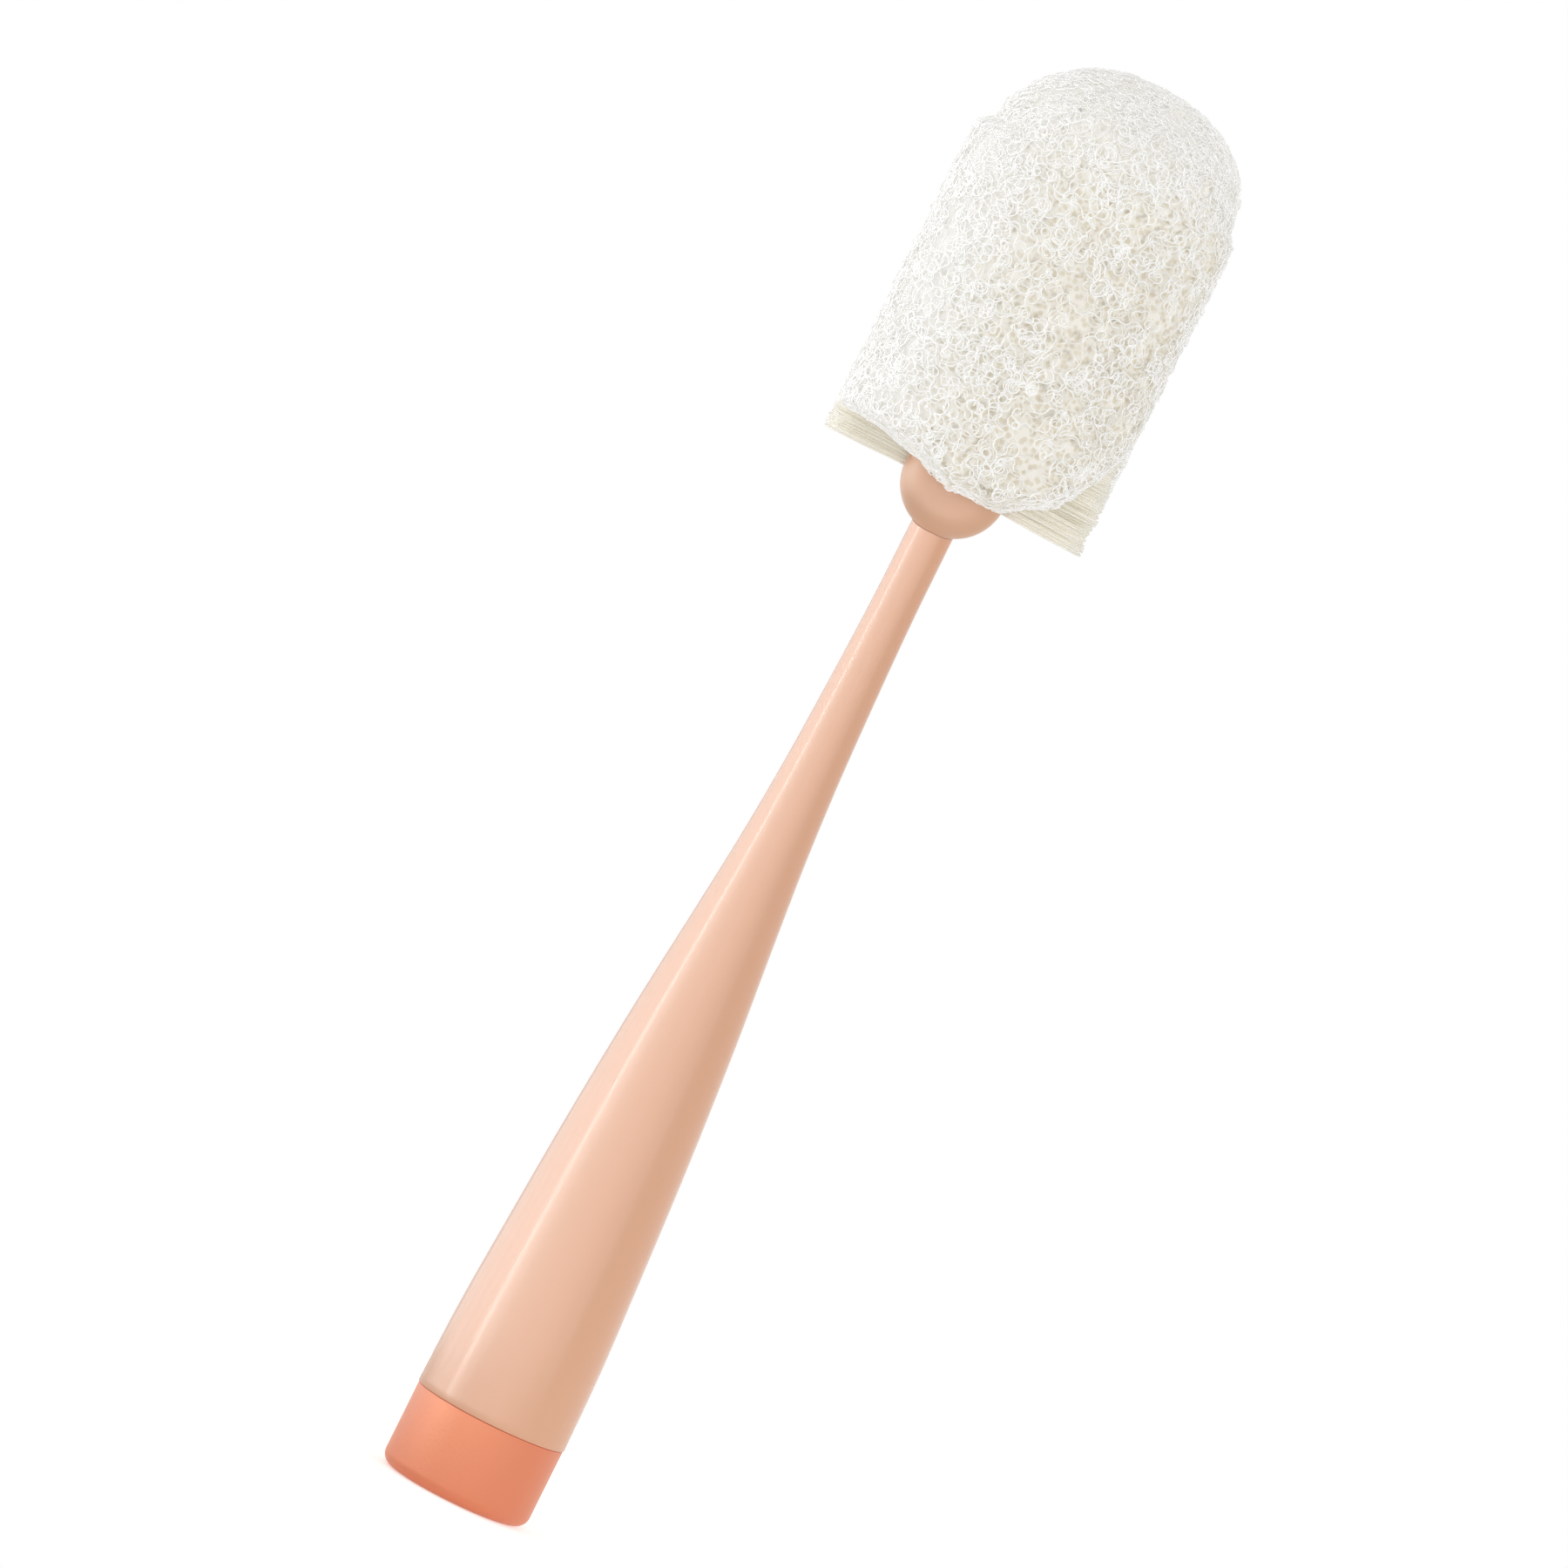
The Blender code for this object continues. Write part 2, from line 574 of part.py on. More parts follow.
def main():
    for old in list(bpy.data.objects):
        bpy.data.objects.remove(old, do_unlink=True)
    parts = new_collection("bottle_brush")
    cutters = new_collection("cutters")
    make_grip(parts, cutters)
    make_cap(parts)
    make_seal(parts)
    rivet_spaces = make_rivets(parts, cutters)
    make_core(parts, cutters, rivet_spaces)
    make_bristles(parts)
    make_pad(parts, cutters, rivet_spaces)
    for piece in parts.objects:
        settle(piece)
    hang_head_on_slide(parts)


main()
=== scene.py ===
import math

import bmesh
import bpy
import numpy as np
from mathutils import Matrix, Vector
from mathutils.kdtree import KDTree


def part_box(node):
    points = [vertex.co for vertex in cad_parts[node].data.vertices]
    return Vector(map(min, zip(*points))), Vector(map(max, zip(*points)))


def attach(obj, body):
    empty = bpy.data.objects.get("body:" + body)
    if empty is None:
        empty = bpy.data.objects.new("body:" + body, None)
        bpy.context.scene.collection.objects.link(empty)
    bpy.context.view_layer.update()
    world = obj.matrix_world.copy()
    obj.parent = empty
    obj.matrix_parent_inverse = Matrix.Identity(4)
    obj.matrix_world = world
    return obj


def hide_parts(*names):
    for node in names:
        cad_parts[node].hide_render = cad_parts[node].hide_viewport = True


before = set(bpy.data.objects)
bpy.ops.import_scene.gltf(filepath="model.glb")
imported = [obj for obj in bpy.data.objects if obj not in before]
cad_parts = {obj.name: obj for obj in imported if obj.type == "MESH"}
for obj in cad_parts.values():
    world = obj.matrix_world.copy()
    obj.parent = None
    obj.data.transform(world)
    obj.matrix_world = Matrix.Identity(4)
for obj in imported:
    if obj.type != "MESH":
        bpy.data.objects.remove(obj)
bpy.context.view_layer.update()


# Camera. The brush stands upright in its frame and leans to the right in the picture, so the camera is
# rolled. A long lens a little above the middle of the brush: the seam of the cap dips slightly in front.
VIEW_WIDTH = 0.2865  # seen across the picture at the brush
VIEW_LEAN = math.radians(26.46)
VIEW_RISE = math.radians(3.3)
VIEW_CENTRE = Vector((-0.00355, 0.0, 0.1439))
LENS_MM, SENSOR_MM = 300.0, 36.0

lens = bpy.data.cameras.new("camera")
lens.lens, lens.sensor_width = LENS_MM, SENSOR_MM
camera = bpy.data.objects.new("camera", lens)
bpy.context.scene.collection.objects.link(camera)
bpy.context.scene.camera = camera
distance = VIEW_WIDTH * LENS_MM / SENSOR_MM
lens.clip_start, lens.clip_end = distance / 10, distance * 10
away = Vector((0.0, -math.cos(VIEW_RISE), math.sin(VIEW_RISE)))
upright = (-away).to_track_quat("-Z", "Y").to_matrix().to_4x4()
rolled = upright @ Matrix.Rotation(VIEW_LEAN, 4, "Z")
camera.matrix_world = Matrix.Translation(VIEW_CENTRE + away * distance) @ rolled


# Studio. A small white floor keeps a soft contact shadow and glows into the white backdrop, which only the
# camera sees. An even white sky and five soft boxes light the brush. A ring of cards is only reflected: it
# draws the pale left flank, the narrow line of light and the soft front of the grip, and a darker right
# side.
scene = bpy.context.scene
scene.view_settings.view_transform = "Standard"
WHITE, SKY_TINT = (1.0, 1.0, 1.0, 1.0), (1.0, 0.99, 0.975, 1.0)
SKY_LIGHT, SKY_REFLECTED = 0.575, 1.0


def background(tree, colour, strength):
    """A plain sky of one colour."""
    made = tree.nodes.new("ShaderNodeBackground")
    made.inputs["Color"].default_value = colour
    made.inputs["Strength"].default_value = strength
    return made


world = bpy.data.worlds.new("studio")
scene.world = world
world.use_nodes = True
nodes, links = world.node_tree.nodes, world.node_tree.links
nodes.clear()
path = nodes.new("ShaderNodeLightPath")
sky = background(world.node_tree, SKY_TINT, SKY_LIGHT)
mirrored = background(world.node_tree, WHITE, SKY_REFLECTED)
white = background(world.node_tree, WHITE, 1.0)
glossy_or_not = nodes.new("ShaderNodeMixShader")
camera_or_not = nodes.new("ShaderNodeMixShader")
output = nodes.new("ShaderNodeOutputWorld")
links.new(path.outputs["Is Glossy Ray"], glossy_or_not.inputs["Fac"])
links.new(sky.outputs["Background"], glossy_or_not.inputs[1])
links.new(mirrored.outputs["Background"], glossy_or_not.inputs[2])
links.new(path.outputs["Is Camera Ray"], camera_or_not.inputs["Fac"])
links.new(glossy_or_not.outputs["Shader"], camera_or_not.inputs[1])
links.new(white.outputs["Background"], camera_or_not.inputs[2])
links.new(camera_or_not.outputs["Shader"], output.inputs["Surface"])

# What the floor gives off to the camera, and to the brush
FLOOR_GLOW, FLOOR_BOUNCE = 0.50, 0.25
FLOOR_HALF, FLOOR_DROP, PAPER = 0.20, 0.0001, (0.85, 0.85, 0.85, 1.0)
sheet = bmesh.new()
bmesh.ops.create_grid(sheet, x_segments=1, y_segments=1, size=FLOOR_HALF)
floor_mesh = bpy.data.meshes.new("floor")
sheet.to_mesh(floor_mesh)
sheet.free()
floor = bpy.data.objects.new("floor", floor_mesh)
scene.collection.objects.link(floor)
floor.location.z = -FLOOR_DROP
paper = bpy.data.materials.new("white_paper")
paper.use_nodes = True
nodes, links = paper.node_tree.nodes, paper.node_tree.links
nodes.clear()
path = nodes.new("ShaderNodeLightPath")
glow = nodes.new("ShaderNodeEmission")
lift = nodes.new("ShaderNodeMath")
lift.operation = "MULTIPLY_ADD"
lift.inputs[1].default_value = FLOOR_GLOW - FLOOR_BOUNCE
lift.inputs[2].default_value = FLOOR_BOUNCE
dull = nodes.new("ShaderNodeBsdfDiffuse")
dull.inputs["Color"].default_value = PAPER
both = nodes.new("ShaderNodeAddShader")
output = nodes.new("ShaderNodeOutputMaterial")
links.new(path.outputs["Is Camera Ray"], lift.inputs[0])
links.new(lift.outputs["Value"], glow.inputs["Strength"])
links.new(glow.outputs["Emission"], both.inputs[0])
links.new(dull.outputs["BSDF"], both.inputs[1])
links.new(both.outputs["Shader"], output.inputs["Surface"])
floor_mesh.materials.append(paper)


WATTS = 4.0  # an area lamp's power for each square metre and unit of radiance


def lamp(name, place, width, height, radiance, reflected):
    """A soft box of even radiance that faces the brush: it lights it, or is only reflected in it."""
    light = bpy.data.lights.new(name, "AREA")
    light.shape = "RECTANGLE"
    light.size, light.size_y = width, height
    light.energy = WATTS * radiance * width * height
    box = bpy.data.objects.new(name, light)
    scene.collection.objects.link(box)
    box.location = place
    box.rotation_euler = (VIEW_CENTRE - Vector(place)).to_track_quat("-Z", "Y").to_euler()
    box.visible_camera = False
    box.visible_diffuse, box.visible_glossy = not reflected, reflected


# Name, place, width, height and radiance of each soft box
SOFT_BOXES = (
    ("left_box", (-0.95, -0.75, 0.08), 0.8, 0.5, 0.22),
    ("right_box", (1.00, -0.72, 0.40), 0.9, 0.9, 1.25),
    ("top_box", (-0.60, -0.25, 1.15), 0.9, 0.9, 0.5),
    ("back_box", (0.35, 1.15, 0.45), 0.9, 0.9, 0.9),
    ("low_box", (-0.72, -0.72, -0.38), 0.6, 0.6, 0.9),
)
for name, place, width, height, radiance in SOFT_BOXES:
    lamp(name, place, width, height, radiance, reflected=False)
CARD_DISTANCE, CARD_HEIGHT, CARD_MIDDLE = 1.2, 1.5, 0.22
# Degrees round to the left of the camera where each card starts and ends, and its radiance
CARDS = (
    (-56, -34, 1.1), (-34, -12, 1.9), (-12, 12, 2.6), (12, 30, 3.1), (30, 50, 4.0), (50, 70, 5.2),
    (70, 74, 15.0), (74, 100, 4.9), (100, 116, 3.8), (116, 132, 2.3), (132, 150, 1.2),
)
for start, end, radiance in CARDS:
    turn, half = math.radians((start + end) / 2), math.radians((end - start) / 2)
    place = (-CARD_DISTANCE * math.sin(turn), -CARD_DISTANCE * math.cos(turn), CARD_MIDDLE)
    width = 2 * CARD_DISTANCE * math.sin(half)
    lamp(f"card_{start}", place, width, CARD_HEIGHT, radiance, reflected=True)


# Grip: one hollow moulding in pale peach plastic, smooth and glossy, turned from a foot 30 mm across to a
# neck of 8 mm. Its end is cupped to seat the round hub of the head, and a spigot with two flats stands
# on it.
MM = 0.001
GAP, WELD = 0.3 * MM, 0.001 * MM
SHARP_FROM = math.radians(38)
grip_low, grip_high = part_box("grip_shell")
GRIP_RADIUS, NECK_RADIUS, GRIP_WALL = 14.9 * MM, 4.15 * MM, 2.6 * MM
GRIP_LENGTH, FOOT_ROUND, SEAT_GAP = 180.7 * MM, 0.15 * MM, 0.08 * MM
SOCKET_RADIUS, SOCKET_DEPTH = 12.7 * MM, 11.0 * MM
SPIGOT_RADIUS, SPIGOT_FLAT, SPIGOT_LEAD = 3.0 * MM, 2.3 * MM, 0.6 * MM
SPIGOT_ROOT, NECK_SPARE = 4.0 * MM, 1.2 * MM
HUB_RADIUS, HUB_HALF_DEPTH, HUB_EDGE = 10.0 * MM, 7.5 * MM, 5.0 * MM
# Share of the grip's length, and share of the step from neck to foot radius that is left there
GRIP_SHARES = (
    (0.0, 1.0), (0.09, 0.96), (0.18, 0.875), (0.31, 0.735), (0.44, 0.555), (0.56, 0.35),
    (0.64, 0.222), (0.72, 0.127), (0.80, 0.066), (0.91, 0.01), (1.0, 0.0),
)
BORE_END, GRIP_ROWS, BORE_ROWS = 0.70, 120, 30
grip_foot = grip_low.z
neck_end = grip_foot + GRIP_LENGTH


def grip_radius(share):
    """Outer radius at a share of the grip's length."""
    table = GRIP_SHARES
    i = max(k for k in range(len(table) - 1) if table[k][0] <= min(max(share, 0.0), 1.0))

    def slope(k):
        before, after = table[max(k - 1, 0)], table[min(k + 1, len(table) - 1)]
        return (after[1] - before[1]) / (after[0] - before[0])

    (x0, y0), (x1, y1) = table[i], table[i + 1]
    span = x1 - x0
    t = (min(max(share, 0.0), 1.0) - x0) / span
    value = (2 * t**3 - 3 * t**2 + 1) * y0 + (t**3 - 2 * t**2 + t) * span * slope(i)
    value += (3 * t**2 - 2 * t**3) * y1 + (t**3 - t**2) * span * slope(i + 1)
    return NECK_RADIUS + (GRIP_RADIUS - NECK_RADIUS) * value


def arc(centre, radius, start, end, steps=8):
    """Points of an arc from start to end degrees, counted from outwards towards up."""
    turn = [math.radians(start + (end - start) * k / steps) for k in range(steps + 1)]
    return [(centre[0] + radius * math.cos(a), centre[1] + radius * math.sin(a)) for a in turn]


def spun(name, outline, body, axis="Z", centre=(0.0, 0.0, 0.0), steps=96, ring=False):
    """Spins an outline of (radius, height) points about an axis into a closed, smooth-shaded piece."""
    bm = bmesh.new()
    points = [bm.verts.new((radius, 0.0, height)) for radius, height in outline]
    line = [bm.edges.new(pair) for pair in zip(points, points[1:])]
    if ring:
        line.append(bm.edges.new((points[-1], points[0])))
    bmesh.ops.spin(
        bm, geom=points + line, cent=(0, 0, 0), axis=(0, 0, 1), angle=math.tau, steps=steps, use_merge=True
    )
    bmesh.ops.remove_doubles(bm, verts=bm.verts, dist=WELD)
    if axis == "Y":
        bmesh.ops.rotate(bm, verts=bm.verts, matrix=Matrix.Rotation(math.pi / 2, 3, "X"))
    bmesh.ops.translate(bm, verts=bm.verts, vec=centre)
    bmesh.ops.recalc_face_normals(bm, faces=bm.faces)
    mesh = bpy.data.meshes.new(name)
    bm.to_mesh(mesh)
    bm.free()
    mesh.shade_smooth()
    mesh.set_sharp_from_angle(angle=SHARP_FROM)
    piece = bpy.data.objects.new(name, mesh)
    scene.collection.objects.link(piece)
    if body:
        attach(piece, body)
    return piece


def cut(piece, tools, operation="DIFFERENCE"):
    """Cuts the piece by each tool, or joins them, and keeps only the result."""
    for tool in tools:
        modifier = piece.modifiers.new("cut", "BOOLEAN")
        modifier.operation, modifier.solver, modifier.object = operation, "EXACT", tool
        result = bpy.data.meshes.new_from_object(
            piece.evaluated_get(bpy.context.evaluated_depsgraph_get())
        )
        piece.modifiers.clear()
        piece.data = result
        bpy.data.objects.remove(tool)
    piece.data.shade_smooth()
    piece.data.set_sharp_from_angle(angle=SHARP_FROM)


def hub_outline(extra):
    """The head's hub about its own axis: a thick disc with large round edges, grown by extra."""
    radius, depth, edge = HUB_RADIUS + extra, HUB_HALF_DEPTH + extra, HUB_EDGE + extra
    upper = arc((radius - edge, depth - edge), edge, 90, 0, 12)
    lower = arc((radius - edge, edge - depth), edge, 0, -90, 12)
    return [(0.0, depth)] + upper + lower + [(0.0, -depth)]


def flat_sided_rod(name, extra, bottom):
    """Round rod with two flats: the spigot, or the socket it goes into."""
    radius, top = SPIGOT_RADIUS + extra, grip_high.z + extra
    outline = [(0.0, top), (radius - SPIGOT_LEAD, top), (radius, top - SPIGOT_LEAD)]
    outline += [(radius, bottom), (0.0, bottom)]
    rod = spun(name, outline, None, steps=64)
    bm = bmesh.new()
    bm.from_mesh(rod.data)
    for side in (-1, 1):
        whole = list(bm.verts) + list(bm.edges) + list(bm.faces)
        flat = (0.0, side * (SPIGOT_FLAT + extra), 0.0)
        made = bmesh.ops.bisect_plane(
            bm, geom=whole, plane_co=flat, plane_no=(0, side, 0), clear_outer=True
        )
        rim = [item for item in made["geom_cut"] if isinstance(item, bmesh.types.BMEdge)]
        bmesh.ops.holes_fill(bm, edges=rim)
    bmesh.ops.recalc_face_normals(bm, faces=bm.faces)
    bm.to_mesh(rod.data)
    bm.free()
    return rod


hub_centre = neck_end + HUB_RADIUS
outline = [(0.0, neck_end + NECK_SPARE), (NECK_RADIUS, neck_end + NECK_SPARE)]
for row in range(GRIP_ROWS):
    share = 1.0 - row / GRIP_ROWS
    height = grip_foot + share * GRIP_LENGTH
    if height > grip_foot + FOOT_ROUND * 2:
        outline.append((grip_radius(share), height))
outline += arc((GRIP_RADIUS - FOOT_ROUND, grip_foot + FOOT_ROUND), FOOT_ROUND, 0, -90, 6)
socket_top = grip_foot + SOCKET_DEPTH
outline += [(SOCKET_RADIUS, grip_foot), (SOCKET_RADIUS, socket_top)]
bore_start = SOCKET_DEPTH / GRIP_LENGTH
for row in range(BORE_ROWS + 1):
    share = bore_start + (BORE_END - bore_start) * row / BORE_ROWS
    outline.append((grip_radius(share) - GRIP_WALL, grip_foot + share * GRIP_LENGTH))
bore_radius, bore_top = outline[-1]
outline += arc((0.0, bore_top), bore_radius, 0, 90)[1:-1] + [(0.0, bore_top + bore_radius)]
grip = spun("grip", outline, "handle")
cut(grip, [spun("neck_seat", hub_outline(SEAT_GAP), None, "Y", (0.0, 0.0, hub_centre))])
cut(grip, [flat_sided_rod("spigot", 0.0, neck_end - SPIGOT_ROOT)], "UNION")
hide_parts("grip_shell")


def moulded_skin():
    """Node group: the cloudy tint, faint orange peel and uneven polish of a moulded plastic wall."""
    tree = bpy.data.node_groups.new("moulded_skin", "ShaderNodeTree")
    for label, kind, value in (
        ("Colour", "NodeSocketColor", (0.8, 0.8, 0.8, 1.0)),
        ("Cloud Colour", "NodeSocketColor", (0.7, 0.7, 0.7, 1.0)),
        ("Polished", "NodeSocketFloat", 0.2),
        ("Dull", "NodeSocketFloat", 0.4),
        ("Peel Scale", "NodeSocketFloat", 900.0),
        ("Peel Depth", "NodeSocketFloat", 0.1),
    ):
        socket = tree.interface.new_socket(label, in_out="INPUT", socket_type=kind)
        socket.default_value = value
    for label, kind in (("Colour", "Color"), ("Roughness", "Float"), ("Normal", "Vector")):
        tree.interface.new_socket(label, in_out="OUTPUT", socket_type="NodeSocket" + kind)
    given, put = tree.nodes.new("NodeGroupInput"), tree.nodes.new("NodeGroupOutput")
    place = tree.nodes.new("ShaderNodeTexCoord")
    cloud = tree.nodes.new("ShaderNodeTexNoise")
    cloud.inputs["Scale"].default_value = 55.0
    cloud.inputs["Detail"].default_value = 3.0
    peel = tree.nodes.new("ShaderNodeTexNoise")
    peel.inputs["Detail"].default_value = 2.0
    rub = tree.nodes.new("ShaderNodeTexNoise")
    rub.inputs["Scale"].default_value = 180.0
    rub.inputs["Detail"].default_value = 5.0
    tint = tree.nodes.new("ShaderNodeMix")
    tint.data_type = "RGBA"
    polish = tree.nodes.new("ShaderNodeMix")
    polish.data_type = "FLOAT"
    bump = tree.nodes.new("ShaderNodeBump")
    bump.inputs["Distance"].default_value = 0.0002
    for texture in (cloud, peel, rub):
        tree.links.new(place.outputs["Object"], texture.inputs["Vector"])
    tree.links.new(given.outputs["Peel Scale"], peel.inputs["Scale"])
    tree.links.new(cloud.outputs["Fac"], tint.inputs["Factor"])
    tree.links.new(given.outputs["Colour"], tint.inputs[6])
    tree.links.new(given.outputs["Cloud Colour"], tint.inputs[7])
    tree.links.new(rub.outputs["Fac"], polish.inputs["Factor"])
    tree.links.new(given.outputs["Polished"], polish.inputs[2])
    tree.links.new(given.outputs["Dull"], polish.inputs[3])
    tree.links.new(given.outputs["Peel Depth"], bump.inputs["Strength"])
    tree.links.new(peel.outputs["Fac"], bump.inputs["Height"])
    tree.links.new(tint.outputs[2], put.inputs["Colour"])
    tree.links.new(polish.outputs[0], put.inputs["Roughness"])
    tree.links.new(bump.outputs["Normal"], put.inputs["Normal"])
    return tree


skin = moulded_skin()


def moulded_plastic(name, colour, cloud, polished, dull, peel_scale, peel_depth, gloss=()):
    """A plastic with the skin group's colour, polish and surface. Its gloss is set on its own shader."""
    material = bpy.data.materials.new(name)
    material.use_nodes = True
    tree = material.node_tree
    shader = tree.nodes["Principled BSDF"]
    group = tree.nodes.new("ShaderNodeGroup")
    group.node_tree = skin
    for label, value in (
        ("Colour", (*colour, 1.0)),
        ("Cloud Colour", (*cloud, 1.0)),
        ("Polished", polished),
        ("Dull", dull),
        ("Peel Scale", peel_scale),
        ("Peel Depth", peel_depth),
    ):
        group.inputs[label].default_value = value
    for label, value in gloss:
        shader.inputs[label].default_value = value
    tree.links.new(group.outputs["Colour"], shader.inputs["Base Color"])
    tree.links.new(group.outputs["Roughness"], shader.inputs["Roughness"])
    tree.links.new(group.outputs["Normal"], shader.inputs["Normal"])
    return material


peach = moulded_plastic(
    "peach_plastic", (0.77, 0.42, 0.265), (0.755, 0.408, 0.253), 0.19, 0.25, 2400.0, 0.012
)
grip.data.materials.clear()
grip.data.materials.append(peach)


# Base cap: a coral cup with a rounded foot. Its plug is pushed into the grip's mouth and has a groove for
# the seal ring. The seam is a fine line: the cap's rim ends just short of the grip, and a step behind it
# closes the gap.
_, cap_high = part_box("base_cap")
CAP_RADIUS, CAP_HEIGHT, CAP_FOOT, CAP_EDGE = 14.7 * MM, 15.9 * MM, 2.4 * MM, 0.15 * MM
CAP_RIM, RIM_STEP = CAP_HEIGHT + 0.20 * MM, 0.22 * MM
CAP_SHOULDER = grip_foot - 0.02 * MM
CAP_FLOOR, PLUG_LEAD, SEAL, GROOVE_WALL = 2.4 * MM, 0.8 * MM, 1.7 * MM, 1.8 * MM
RIM_DRAFT = 0.05 * MM
plug_radius = SOCKET_RADIUS - GAP
groove_radius = SOCKET_RADIUS - SEAL - 2 * GAP
groove_middle = (CAP_HEIGHT + cap_high.z) / 2
groove_half = SEAL / 2 + GAP
cavity = groove_radius - GROOVE_WALL
outline = [(0.0, CAP_FLOOR), (cavity, CAP_FLOOR), (cavity, cap_high.z)]
outline += [(plug_radius - PLUG_LEAD, cap_high.z), (plug_radius, cap_high.z - PLUG_LEAD)]
outline += [(plug_radius, groove_middle + groove_half), (groove_radius, groove_middle + groove_half)]
outline += [(groove_radius, groove_middle - groove_half), (plug_radius, groove_middle - groove_half)]
outline += [(plug_radius, CAP_SHOULDER), (CAP_RADIUS - RIM_STEP - RIM_DRAFT, CAP_SHOULDER)]
outline += [(CAP_RADIUS - RIM_STEP, CAP_RIM)]
outline += arc((CAP_RADIUS - CAP_EDGE, CAP_RIM - CAP_EDGE), CAP_EDGE, 90, 0, 6)
outline += arc((CAP_RADIUS - CAP_FOOT, CAP_FOOT), CAP_FOOT, 0, -90, 12) + [(0.0, 0.0)]
cap = spun("cap", outline, "handle")
coral = moulded_plastic(
    "coral_plastic", (0.79, 0.255, 0.14), (0.77, 0.245, 0.132), 0.38, 0.46, 1500.0, 0.12,
    gloss=(
        ("Specular IOR Level", 0.7),
        ("Specular Tint", (1.0, 0.6, 0.4, 1.0)),
        ("Sheen Weight", 0.4),
        ("Sheen Roughness", 0.3),
        ("Sheen Tint", (1.0, 0.72, 0.55, 1.0)),
    ),
)
cap.data.materials.append(coral)
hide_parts("base_cap")


# Seal ring: a rubber ring in the plug's groove. It is the modelled solid with a soft matt finish.
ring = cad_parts["cap_seal_ring"]
rubber = moulded_plastic("seal_rubber", (0.70, 0.62, 0.56), (0.66, 0.58, 0.52), 0.55, 0.7, 900.0, 0.1)
ring.data.materials.clear()
ring.data.materials.append(rubber)


# Head core: hub and flat spine in one moulding, satin peach. The hub is the round button between neck and
# pad; the spine runs up inside the head, with a groove in each edge for the bristles and two windows.
_, core_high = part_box("head_core")
SPINE_HALF_WIDTH, SPINE_HALF_DEPTH = 9.0 * MM, 4.9 * MM
SPINE_SHOULDER = core_high.z - SPINE_HALF_DEPTH
CHANNEL_HALF, CHANNEL_FLOOR, BAND_BOTTOM = 2.6 * MM, 7.0 * MM, 205.5 * MM
NOSE_SHARE, NOSE_STEPS, SOCKET_SPARE = 0.98, 10, 3.0 * MM
WINDOWS, WINDOW_HALF = ((228.1 * MM, 241.0 * MM), (244.1 * MM, 257.0 * MM)), 4.2 * MM
CHANNEL_SPARE, WINDOW_SPARE = 13.0 * MM, 8.0 * MM  # how far the cutters reach past the spine


def block(name, low, high):
    """A box between two corners."""
    bm = bmesh.new()
    bmesh.ops.create_cube(bm, size=1.0)
    bmesh.ops.scale(bm, vec=Vector(high) - Vector(low), verts=bm.verts)
    bmesh.ops.translate(bm, vec=(Vector(high) + Vector(low)) / 2, verts=bm.verts)
    mesh = bpy.data.meshes.new(name)
    bm.to_mesh(mesh)
    bm.free()
    made = bpy.data.objects.new(name, mesh)
    scene.collection.objects.link(made)
    return made


core = spun("core", hub_outline(0.0), "head", "Y", (0.0, 0.0, hub_centre))
spine_low = (-SPINE_HALF_WIDTH, -SPINE_HALF_DEPTH, hub_centre)
spine = block("spine", spine_low, (SPINE_HALF_WIDTH, SPINE_HALF_DEPTH, core_high.z))
bm = bmesh.new()
bm.from_mesh(spine.data)
upper = [e for e in bm.edges if all(v.co.z > SPINE_SHOULDER for v in e.verts)]
nose = [e for e in upper if abs(e.verts[0].co.x - e.verts[1].co.x) > MM]
nose_round = SPINE_HALF_DEPTH * NOSE_SHARE
bmesh.ops.bevel(
    bm, geom=nose, offset=nose_round, segments=NOSE_STEPS, profile=0.5, affect="EDGES", material=-1
)
bm.to_mesh(spine.data)
bm.free()
cut(core, [spine], "UNION")
tools = [flat_sided_rod("socket", GAP, neck_end - SOCKET_SPARE)]
for side in (-1, 1):
    span = sorted((side * CHANNEL_FLOOR, side * CHANNEL_SPARE))
    low, high = (span[0], -CHANNEL_HALF, BAND_BOTTOM - GAP), (span[1], CHANNEL_HALF, SPINE_SHOULDER)
    tools.append(block("channel", low, high))
for bottom, top in WINDOWS:
    low, high = (-WINDOW_HALF, -WINDOW_SPARE, bottom), (WINDOW_HALF, WINDOW_SPARE, top)
    tools.append(block("window", low, high))
cut(core, tools)
satin = moulded_plastic(
    "satin_peach", (0.715, 0.415, 0.27), (0.69, 0.40, 0.255), 0.40, 0.50, 900.0, 0.10,
    gloss=(
        ("Specular IOR Level", 0.35),
        ("Sheen Weight", 0.8),
        ("Sheen Roughness", 0.35),
        ("Sheen Tint", (1.0, 0.86, 0.74, 1.0)),
    ),
)
core.data.materials.clear()
core.data.materials.append(satin)
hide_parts("head_core")


# Rivets: two nylon pins through pad and spine, hidden in the pad. They are the modelled solids with
# a finish.
nylon = moulded_plastic("natural_nylon", (0.86, 0.85, 0.80), (0.82, 0.81, 0.75), 0.35, 0.45, 900.0, 0.05)
for name in ("pad_rivet_lower", "pad_rivet_upper"):
    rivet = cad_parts[name]
    rivet.data.materials.clear()
    rivet.data.materials.append(nylon)


# Pad body: the dense inner web of the folded pad, a soft cream mass that shows among the curls. It is the
# pad's own solid, remeshed, and laid just under the curls by the functions below, which say how far a point
# lies outside the folded form. It is lumpy, with small deep pits for the web's darker cells, and drawn back
# at the hem. Its material darkens the pits and the open web as painted shade.
pad_low, pad_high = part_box("mesh_pad")
_, band_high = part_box("right_bristles")
LOBE_HALF_WIDTH = band_high.x + 0.2 * MM
DOME_HALF_WIDTH, DOME_FOOT = 24.5 * MM, 266.0 * MM
DOME_SUNK = 1.8 * MM
DOME_HEIGHT = pad_high.z - DOME_SUNK - DOME_FOOT
